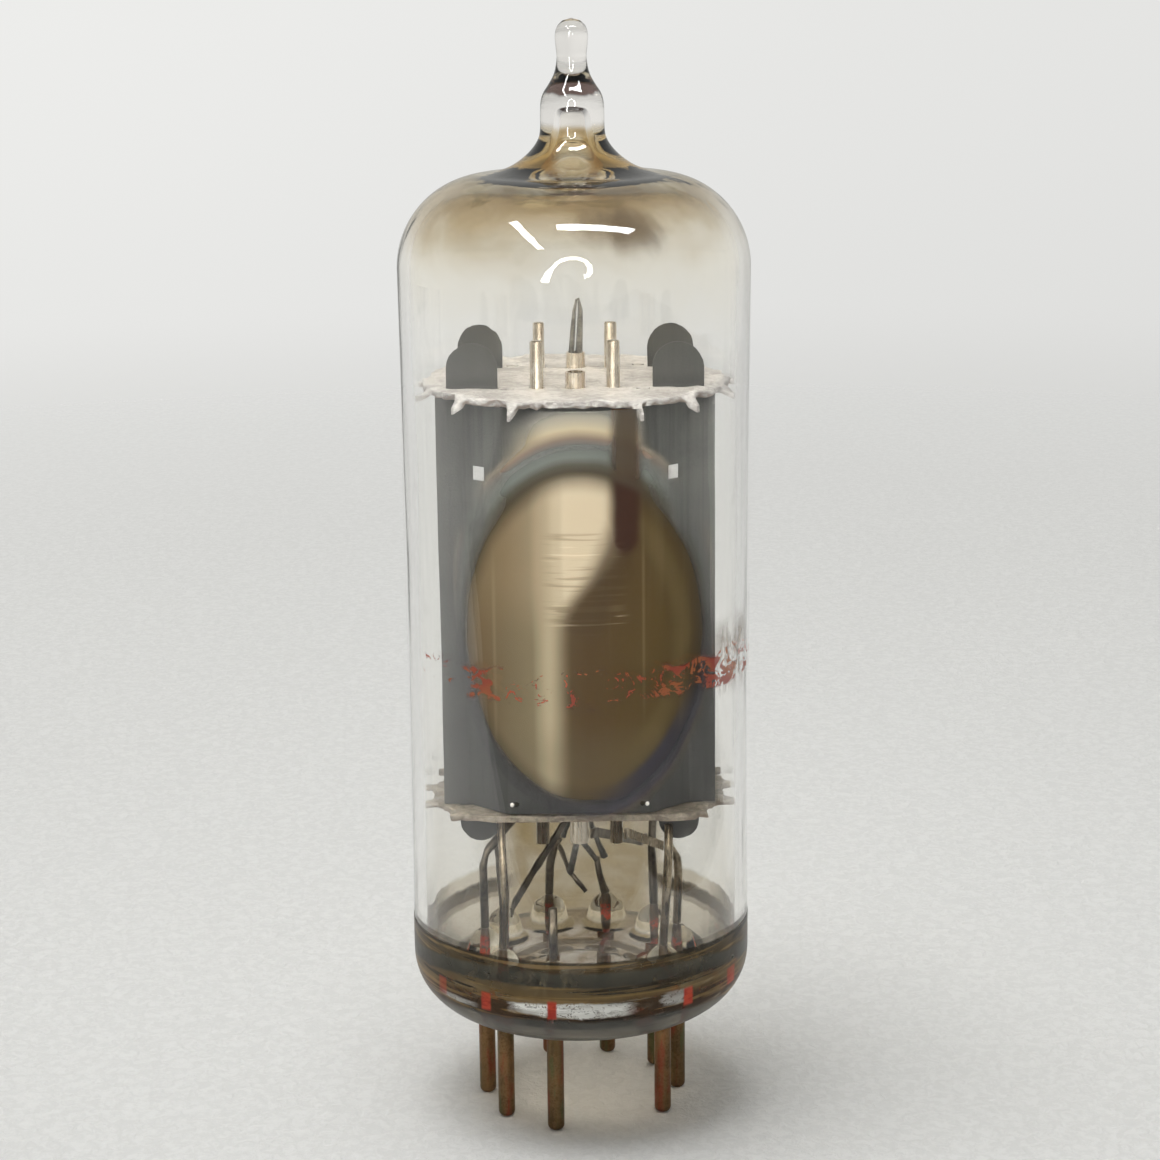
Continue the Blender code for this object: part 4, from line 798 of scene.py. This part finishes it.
def make_glass():
    """One closed body: outside from the button's underside to the tip, inside with the mounds."""
    bm = bmesh.new()
    shoulder = (BULB_RADIUS - SHOULDER_RADIUS, DOME_LEVEL - SHOULDER_RADIUS)
    heel = (BULB_RADIUS - HEEL_RADIUS, SEAT_LEVEL + HEEL_RADIUS)
    outside = [(0.4, SEAT_LEVEL + DISH_DEPTH), (2.4, SEAT_LEVEL + DISH_DEPTH * 0.96)]
    outside += smooth_curve([(3.6, SEAT_LEVEL + DISH_DEPTH * 0.75), (DISH_RADIUS, SEAT_LEVEL + 0.08),
                             (DISH_RADIUS + 0.5, SEAT_LEVEL), (heel[0], SEAT_LEVEL)], 3)
    outside += round_stretch(heel, HEEL_RADIUS, -88, 0, 24)
    outside += waisted(BULB_RADIUS, heel[1], shoulder[1])
    outside += round_stretch(shoulder, SHOULDER_RADIUS, 0, 88, 28)
    outside += reversed(tip_outline()[:-1])

    wall = BULB_RADIUS - GLASS_WALL
    floor_edge = wall - INNER_HEEL_RADIUS
    floor_top = FLOOR_LEVEL + INNER_HEEL_RADIUS
    inside = list(reversed(bore_outline()))
    inside += reversed(round_stretch(shoulder, SHOULDER_RADIUS - GLASS_WALL, 0, 88, 24))
    inside += reversed(waisted(wall, floor_top, shoulder[1]))
    inside += round_stretch((floor_edge, floor_top), INNER_HEEL_RADIUS, 0, -86, 16)

    rings = [ring(bm, r, z, GLASS_SIDES) for r, z in outside]
    skin_over(bm, rings, SEAT_LEVEL + DISH_DEPTH, TIP_TOP)
    outer_faces = set(bm.faces)
    rings = [ring(bm, r, z, GLASS_SIDES) for r, z in inside]
    steps = 60
    rings += [ring(bm, floor_edge * (1 - i / steps), FLOOR_LEVEL, GLASS_SIDES, mound_lift)
              for i in range(steps - 1)]
    skin_over(bm, rings, BORE_END, FLOOR_LEVEL)
    cavity = [face for face in bm.faces if face not in outer_faces]
    finish_mesh("glass_body", bm, glass_finish(), ("bulb", "glass_button"), cavity=cavity)


def film(name, outline, low_angle, high_angle, columns, finish):
    """A thin film on the glass: an outline of (radius, height) points turned from one angle to another.

    Angles are in degrees from the front, to the right positive.
    """
    bm = bmesh.new()
    grid = []
    for radius, z in outline:
        row = []
        for i in range(columns + 1):
            angle = math.radians(low_angle + (high_angle - low_angle) * i / columns)
            row.append(bm.verts.new((radius * math.sin(angle) * MM, -radius * math.cos(angle) * MM, z * MM)))
        grid.append(row)
    for low, high in zip(grid, grid[1:]):
        for i in range(columns):
            bm.faces.new((low[i], low[i + 1], high[i + 1], high[i]))
    mesh = take_mesh(name, bm, finish)
    mesh.shade_smooth()
    piece = add_object(name, mesh)
    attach(piece, "root")


def upright(radius, low, high, rows):
    return [(radius, low + (high - low) * i / rows) for i in range(rows + 1)]


def stain_and_reflection_bands(tree, z, side, cloud):
    """Slate and brown bands that run round the heel, with gold and dark lines in them: the brown is stain,
    the slate is a painted reflection of a dark room, and the gold lines are painted highlights.
    """
    layers = noise(tree, place_in_mm(tree, (0.12, 0.12, 2.2)), 1.0, 3.0, 0.6, 0.3)
    height = calc(tree, "MULTIPLY_ADD", side, 1.25, z)
    height = calc(tree, "MULTIPLY_ADD", calc(tree, "SUBTRACT", cloud, 0.5), 0.5, height)
    share = calc(tree, "DIVIDE", calc(tree, "SUBTRACT", height, 6.5), 8.0)
    colour = ramp(tree, share, [(0.0, (0.09, 0.086, 0.072)), (0.12, (0.13, 0.126, 0.112)),
                                (0.28, (0.10, 0.096, 0.085)), (0.31, (0.055, 0.028, 0.011)),
                                (0.43, (0.068, 0.035, 0.013)), (0.48, (0.18, 0.12, 0.048)),
                                (0.555, (0.13, 0.095, 0.05)), (0.575, (0.055, 0.053, 0.042)),
                                (0.67, (0.075, 0.073, 0.058)), (0.69, (0.075, 0.050, 0.021)),
                                (1.0, (0.14, 0.115, 0.075))])
    brown = calc(tree, "ADD", span(tree, height, 8.9, 11.05, 0.1), step(tree, height, 11.95, 12.1))
    # Gold lines: painted highlights.
    gold = times(tree, step(tree, layers, 0.54, 0.60, 0.0, 0.7), brown)
    colour = tint(tree, gold, colour, (0.30, 0.195, 0.075))
    dark = times(tree, step(tree, layers, 0.44, 0.39, 0.0, 0.85),
                calc(tree, "MULTIPLY_ADD", brown, 0.75, 0.25))
    colour = tint(tree, dark, colour, (0.018, 0.015, 0.010))
    return colour


def painted_heel_reflection(tree, x, y, z, crack):
    """The cracked silvery streak, a painted reflection: where it covers the heel, and its brightness."""
    jagged = calc(tree, "MULTIPLY_ADD", crack, 1.4, x)
    level = calc(tree, "MULTIPLY_ADD", crack, 0.3, z)
    taper = times(tree, calc(tree, "ABSOLUTE", x), 0.045)
    middle = times(tree, step(tree, calc(tree, "SUBTRACT", level, taper), 9.12, 9.28),
                  step(tree, calc(tree, "ADD", level, taper), 10.30, 10.16))
    middle = times(tree, span(tree, jagged, -3.4, 3.6, 0.5), middle)
    right = times(tree, span(tree, jagged, 5.5, 6.9, 0.2), span(tree, level, 9.45, 10.3, 0.09))
    left = times(tree, span(tree, x, -8.3, -6.3, 0.3), span(tree, level, 9.1, 9.45, 0.08))
    reflection_share = calc(tree, "ADD", middle, calc(tree, "ADD", times(tree, right, 0.6),
                                            times(tree, left, 0.5)), clamp=True)
    reflection_share = times(tree, reflection_share, step(tree, y, -2.0, -4.0))
    whole = calc(tree, "SUBTRACT", 1.0, span(tree, crack, 0.485, 0.505, 0.008))
    reflection_share = times(tree, reflection_share, whole)
    bright = tint(tree, step(tree, x, -3.0, 2.4), (1.0, 1.0, 0.95), (0.70, 0.70, 0.66))
    bright = tint(tree, step(tree, crack, 0.50, 0.38, 0.0, 0.6), bright, (0.34, 0.33, 0.29))
    # A brighter line along the streak: a painted highlight.
    highlight_line = span(tree, level, 9.6, 9.95, 0.12)
    bright = tint(tree, times(tree, highlight_line, 0.6), bright, (1.0, 1.0, 0.96))
    return reflection_share, bright


def wire_marks(tree, x, y, z):
    """Where the red sealing wires show through the heel, as the heel's thick glass spreads them."""
    wires = 0.0
    for place, width, share in ((-8.3, 0.22, 0.5), (-5.65, 0.27, 0.9), (-1.75, 0.27, 1.0), (6.3, 0.27, 1.0),
                                (9.0, 0.24, 0.7)):
        wire = span(tree, x, place - width, place + width, 0.07)
        wires = calc(tree, "MULTIPLY_ADD", wire, share, wires)
    wires = times(tree, wires, span(tree, z, 9.0, 10.15, 0.1))
    wires = times(tree, wires, step(tree, y, 0.0, -1.0))
    return wires


def stain_and_reflection_finish():
    """Stain on the heel, with painted reflection and shade: slate and brown bands that run round it, a
    silvery cracked streak that is a painted reflection, and a painted dark line at its top.
    """
    finish, tree, shader = new_finish("heel_stain_and_reflections")
    point = place_in_mm(tree)
    x, y, z = axes(tree, point)
    side = step(tree, y, -10.3, 1.0)
    cloud = noise(tree, point, 0.5, 3.0, 0.6, 0.6)
    crack = noise(tree, place_in_mm(tree, (0.6, 0.6, 1.6)), 1.3, 4.0, 0.65, 1.0)
    colour = stain_and_reflection_bands(tree, z, side, cloud)
    reflection_share, bright = painted_heel_reflection(tree, x, y, z, crack)
    # The silvery streak laid over the bands: a painted reflection.
    colour = tint(tree, reflection_share, colour, bright)

    top = calc(tree, "MULTIPLY_ADD", side, -0.5, 12.6)
    below = step(tree, calc(tree, "SUBTRACT", z, top), -0.06, 0.06, 1.0, 0.0)
    # A dark line just under the film's top: painted shade.
    line = span(tree, calc(tree, "SUBTRACT", z, top), -0.17, -0.02, 0.04)
    colour = tint(tree, times(tree, line, 0.8), colour, (0.018, 0.015, 0.010))
    body = step(tree, cloud, 0.3, 0.6, 0.72, 0.90)
    body = calc(tree, "MAXIMUM", body, times(tree, reflection_share, 0.95))
    wires = wire_marks(tree, x, y, z)
    colour = tint(tree, wires, colour, tint(tree, step(tree, crack, 0.4, 0.6), (0.42, 0.035, 0.02),
                                            (0.62, 0.075, 0.035)))
    body = calc(tree, "MAXIMUM", body, times(tree, wires, 0.9))
    back = times(tree, span(tree, z, 10.15, 11.2, 0.1),
                step(tree, calc(tree, "ABSOLUTE", x), 4.0, 6.0, 0.0, 0.8))
    colour = tint(tree, step(tree, y, 2.5, 6.0), colour, (0.17, 0.13, 0.06))
    back = calc(tree, "MULTIPLY_ADD", step(tree, y, 2.5, 6.0), calc(tree, "SUBTRACT", back, 1.0), 1.0)
    body = times(tree, body, back)
    set_shader(tree, shader, colour=colour, rough=0.3, shine=0.15, alpha=times(tree, body, below))
    return finish


def make_films():
    heel = (BULB_RADIUS - HEEL_RADIUS, SEAT_LEVEL + HEEL_RADIUS)
    heel_outline = round_stretch(heel, HEEL_RADIUS + STAIN_GAP, -80, 0, 16)
    heel_outline += upright(BULB_RADIUS + STAIN_GAP, heel[1] + 0.3, 12.9, 9)
    film("heel_stain_and_reflections", heel_outline, -180, 180, 180, stain_and_reflection_finish())
    mirror_outline = upright(MIRROR_RADIUS, 19.6, 45.0, 80)
    film("getter_mirror", mirror_outline, -62, 66, 96, mirror_finish())
    fleck_outline = upright(BULB_RADIUS + STAIN_GAP, 26.0, 32.5, 12)
    film("ink_flecks", fleck_outline, -62, 88, 120, print_finish())
    smear_outline = upright(BULB_RADIUS + SMEAR_GAP, 13.0, 51.5, 30)
    film("glass_smears", smear_outline, -100, 100, 140, smear_finish())


def make_pins(finish):
    """The nine pins, round at their feet."""
    outline = [(0.12, 0.0)]
    outline += round_stretch((PIN_RADIUS - PIN_ROUNDING, PIN_ROUNDING), PIN_ROUNDING, -80, 0, 10)
    outline += [(PIN_RADIUS, 0.6 + 0.5 * i) for i in range(12)]
    outline += [(PIN_RADIUS, PIN_TOP - 0.02), (PIN_RADIUS - 0.05, PIN_TOP)]
    for number in PIN_NUMBERS:
        x, y = pin_place(number)
        bm = bmesh.new()
        skin_over(bm, [ring(bm, r, z, PIN_SIDES) for r, z in outline], 0.0, PIN_TOP)
        bmesh.ops.translate(bm, verts=bm.verts, vec=(x * MM, y * MM, 0.0))
        finish_mesh(f"pin_wire_{number}", bm, finish, (f"pin_{number}",), 50)


def make_rod(name, place, radius, low, high, sides, finish, node):
    """A round upright rod with slightly broken ends."""
    bm = bmesh.new()
    worn = radius * 0.12
    outline = [(radius - worn, low), (radius, low + worn), (radius, high - worn), (radius - worn, high)]
    skin_over(bm, [ring(bm, r, z, sides) for r, z in outline], low, high)
    bmesh.ops.translate(bm, verts=bm.verts, vec=(place[0] * MM, place[1] * MM, 0.0))
    finish_mesh(name, bm, finish, (node,), 50)


def smooth_copy(node, finish, sharp=40.0):
    """The CAD piece again with its facets shaded round."""
    finish_mesh(f"{node}_piece", cad_mesh(node), finish, (node,), sharp)


def dress_node(node, finish):
    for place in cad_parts[node].material_slots:
        place.material = finish


def make_specks(finish):
    """Small bright weld marks on the front plate."""
    for number, (x, y, z) in enumerate(((-3.9, -6.0, 20.95), (3.9, -6.0, 20.95), (-3.5, -6.0, 39.75))):
        bm = bmesh.new()
        bmesh.ops.create_icosphere(bm, subdivisions=2, radius=0.13 * MM)
        bmesh.ops.scale(bm, verts=bm.verts, vec=(1.0, 0.4, 1.1))
        bmesh.ops.translate(bm, verts=bm.verts, vec=(x * MM, y * MM, z * MM))
        finish_mesh(f"weld_mark_{number + 1}", bm, finish)


def make_metal_parts():
    bright = nickel_finish("bright_nickel_wire", (0.86, 0.80, 0.70), (0.62, 0.54, 0.44), 0.2)
    dull = nickel_finish("heat_dulled_nickel", (0.22, 0.19, 0.15), (0.09, 0.08, 0.065), 0.34)
    heater = heater_finish()
    getter = getter_finish()
    seal = seal_finish()
    lead = nickel_finish("lead_nickel", (0.50, 0.42, 0.31), (0.17, 0.135, 0.09), 0.24)
    for number in PIN_NUMBERS:
        make_rod(f"seal_core_{number}", pin_place(number), SEAL_RADIUS, PIN_TOP + 0.05, SEAL_TOP, 20, seal,
                 f"seal_wire_{number}")
        is_bright = number in (1, 2, 8)
        smooth_copy(f"lead_{number}", lead if is_bright else dull)
    for unit in ("front", "back"):
        smooth_copy(f"grid_{unit}_rod_left", bright)
        smooth_copy(f"grid_{unit}_rod_right", bright)
        smooth_copy(f"cathode_{unit}", bright)
        smooth_copy(f"heater_{unit}", heater, 60.0)
        dress_node(f"grid_{unit}_winding", bright)
    smooth_copy("heater_link", dull, 60.0)
    smooth_copy("grid_front_strap", lead)
    mark = nickel_finish("weld_mark_nickel", (1.0, 0.98, 0.94), (0.85, 0.83, 0.8), 0.5)
    make_specks(mark)
    for strap in ("cathode_front_strap", "cathode_back_strap"):
        smooth_copy(strap, dull)
    smooth_copy("getter_strap", getter)
    smooth_copy("getter_trough", getter)


def rough_mica(node, finish, rim_low, rim_high, wave):
    """The punched mica with a flaked rim and an uneven face, from the CAD's outline."""
    bm = cad_mesh(node)
    bmesh.ops.dissolve_limit(bm, angle_limit=0.01, verts=bm.verts, edges=bm.edges)
    bmesh.ops.triangulate(bm, faces=bm.faces)
    for _ in range(4):
        long_edges = [edge for edge in bm.edges if edge.calc_length() > MICA_EDGE * MM]
        bmesh.ops.subdivide_edges(bm, edges=long_edges, cuts=1)
        bmesh.ops.triangulate(bm, faces=bm.faces)
    for vert in bm.verts:
        x, y, z = (c / MM for c in vert.co)
        away = math.hypot(x, y)
        flake = mathutils.noise.fractal(Vector((x * 0.9, y * 0.9, z * 0.6)), 0.6, 2.2, 4)
        lift = mathutils.noise.fractal(Vector((x * 0.55 + 9.0, y * 0.55, 0.0)), 0.6, 2.0, 3)
        rim = min(1.0, max(0.0, (away - RIM_START) / RIM_WIDTH))
        vert.co.z += (wave * lift * (0.35 + 0.65 * rim)) * MM
        if rim > 0.5 and away < PRONG_START:
            inward = rim_low + (rim_high - rim_low) * (0.5 + 0.5 * max(-1.0, min(1.0, 2.0 * flake)))
            factor = 1.0 - inward * (rim - 0.5) * 2.0 / away
            vert.co.x *= factor
            vert.co.y *= factor
    finish_mesh(f"{node}_piece", bm, finish, (node,), 35.0)


def dress_sheets_and_micas():
    plate = plate_finish()
    for unit in ("front", "back"):
        for side in ("outer", "inner"):
            dress_node(f"plate_{unit}_{side}", plate)
    white = mica_finish("sprayed_white_mica", (0.50, 0.485, 0.47), (0.31, 0.295, 0.285),
                        (0.62, 0.605, 0.59), 0.1)
    brown = mica_finish("bare_brown_mica", (0.28, 0.24, 0.18), (0.12, 0.095, 0.065),
                        (0.40, 0.355, 0.29), 0.4)
    rough_mica("top_mica", white, -0.02, 0.34, 0.16)
    rough_mica("bottom_mica", brown, -0.02, 0.30, 0.12)


# Studio
def floor_finish():
    """Pale cloth-like board that fades into the background far from the tube."""
    finish, tree, shader = new_finish("pale_board")
    point = place_in_mm(tree)
    fibre = noise(tree, point, 1.3, 3.0, 0.7, 1.0)
    broad = noise(tree, point, 0.02, 2.0, 0.5)
    colour = tint(tree, broad, (0.705, 0.705, 0.69), (0.735, 0.735, 0.72))
    colour = tint(tree, step(tree, fibre, 0.40, 0.62, 0.42, 0.0), colour, (0.60, 0.60, 0.585))
    set_shader(tree, shader, colour=colour, rough=0.9, shine=0.1, normal=bump(tree, fibre, 0.55, 0.0003))
    x, y, _ = axes(tree, point)
    away = diagonal(tree, x, y)
    fade = step(tree, away, 100.0, 360.0)
    show_mixed(tree, fade, shader, put(tree, "ShaderNodeBsdfTransparent"))
    return finish


def make_floor():
    bm = bmesh.new()
    bmesh.ops.create_circle(bm, cap_ends=True, segments=96, radius=0.6)
    board = add_object("board", take_mesh("board", bm, floor_finish()))


def make_dark_card():
    """A dark card on the board before the tube, seen only where glass or metal mirrors it."""
    corners = [(-0.22, -0.34), (0.30, -0.34), (0.30, 0.05), (0.06, 0.02), (0.04, -0.045), (-0.16, -0.045)]
    bm = bmesh.new()
    bm.faces.new([bm.verts.new((x, y, CARD_LEVEL)) for x, y in corners])
    finish, tree, shader = new_finish("dark_card")
    fibre = noise(tree, place_in_mm(tree), 0.5, 3.0, 0.6)
    set_shader(tree, shader, colour=tint(tree, fibre, (0.03, 0.03, 0.03), (0.05, 0.05, 0.05)), rough=0.9)
    path = put(tree, "ShaderNodeLightPath").outputs
    not_mirrored = calc(tree, "LESS_THAN", path["Glossy Depth"], 0.5)
    scattered = calc(tree, "GREATER_THAN", path["Diffuse Depth"], 0.5)
    unseen = put(tree, "ShaderNodeBsdfTransparent", {"Color": (1.0, 1.0, 1.0, 1.0)})
    show_mixed(tree, calc(tree, "MAXIMUM", not_mirrored, scattered), shader, unseen)
    card = add_object("dark_card", take_mesh("dark_card", bm, finish))
    card.visible_camera = False
    card.visible_diffuse = False
    card.visible_shadow = False


def make_world():
    """A pale room: the same tone all round for what is seen directly, dimmer above in the glass."""
    world = bpy.data.worlds.new("pale_room")
    world.use_nodes = True
    bpy.context.scene.world = world
    tree = world.node_tree
    direction = put(tree, "ShaderNodeTexCoord").outputs["Generated"]
    x, y, z = axes(tree, direction)
    lift = calc(tree, "MULTIPLY_ADD", z, 0.5, 0.5)
    seen = ramp(tree, lift, [(0.379, (0.71, 0.71, 0.695)), (0.403, (0.765, 0.765, 0.75)),
                             (0.431, (0.79, 0.79, 0.775)), (0.459, (0.815, 0.815, 0.80)),
                             (0.483, (0.83, 0.83, 0.815)), (0.60, (0.80, 0.80, 0.785)),
                             (0.75, (0.40, 0.40, 0.40)), (1.0, (0.15, 0.15, 0.15))])
    ahead = step(tree, y, -0.4, 0.6, 0.86, 1.0)
    sideways = step(tree, x, -0.25, 0.25, 1.02, 0.94)
    ahead = times(tree, ahead, sideways)
    room = ramp(tree, lift, [(0.30, (0.40, 0.40, 0.38)), (0.46, (0.48, 0.48, 0.46)),
                             (0.60, (0.50, 0.50, 0.48)), (1.0, (0.50, 0.50, 0.49))])
    dim = step(tree, y, -0.95, 0.35, 0.4, 1.0)
    path = put(tree, "ShaderNodeLightPath").outputs
    direct = calc(tree, "MAXIMUM", path["Is Camera Ray"], path["Is Transmission Ray"])
    level = put(tree, "ShaderNodeMix", {0: direct, 2: dim, 3: ahead}).outputs[0]
    grey = put(tree, "ShaderNodeCombineColor", {0: level, 1: level, 2: level}).outputs[0]
    colour = tint(tree, 1.0, tint(tree, direct, room, seen), grey, "MULTIPLY")
    tree.links.new(colour, tree.nodes["Background"].inputs["Color"])


def make_lamp(name, place, aim, size, power, mirrored=True):
    """A lamp that is either seen as a glint in the glass or lights the matt surfaces."""
    light = bpy.data.lights.new(name, "AREA")
    light.shape = "RECTANGLE"
    light.size, light.size_y = size
    light.energy = power
    lamp = add_object(name, light)
    lamp.visible_transmission = False
    lamp.visible_glossy = mirrored
    lamp.visible_diffuse = not mirrored
    look = Vector(aim) - Vector(place)
    lamp.matrix_world = Matrix.Translation(place) @ look.to_track_quat("-Z", "Y").to_matrix().to_4x4()


def make_ring_light():
    """Bent bright tube behind the camera, seen as the curved glint in the dome."""
    path = [(-0.160, -0.488, 0.060), (-0.152, -0.484, 0.105), (-0.135, -0.476, 0.176),
            (-0.106, -0.464, 0.236), (-0.068, -0.451, 0.279), (-0.025, -0.445, 0.298),
            (0.017, -0.446, 0.298), (0.060, -0.456, 0.273), (0.087, -0.472, 0.223),
            (0.093, -0.489, 0.163), (0.077, -0.499, 0.124), (0.055, -0.500, 0.118)]
    curve = bpy.data.curves.new("bright_tube", "CURVE")
    curve.dimensions = "3D"
    curve.bevel_depth = 0.015
    line = curve.splines.new("POLY")
    line.points.add(len(path) - 1)
    for point, place in zip(line.points, path):
        point.co = (*place, 1.0)
    tube = add_object("bright_tube", curve)
    finish, tree, shader = new_finish("bright_tube")
    set_shader(tree, shader, colour=(0.8, 0.8, 0.8), rough=0.6)
    shader.inputs["Emission Color"].default_value = (1.0, 0.99, 0.96, 1.0)
    shader.inputs["Emission Strength"].default_value = 34.0
    curve.materials.append(finish)
    tube.visible_diffuse = False
    tube.visible_transmission = False


def make_studio():
    make_floor()
    make_dark_card()
    make_world()
    make_lamp("ceiling_bar", (0.125, -0.22, 0.60), (0.125, -0.22, 0.0), (0.42, 0.09), 4.2)
    make_lamp("side_bar", (-0.26, -0.31, 0.56), (-0.26, -0.31, 0.0), (0.05, 0.52), 2.8)
    make_lamp("large_soft_box", (-0.15, -0.06, 0.80), (0.0, 0.0, 0.03), (0.5, 0.5), 4.7, False)
    make_ring_light()


bpy.context.scene.view_settings.view_transform = "Standard"
make_camera()
make_glass()
make_films()
make_pins(pin_finish())
make_metal_parts()
dress_sheets_and_micas()
make_studio()
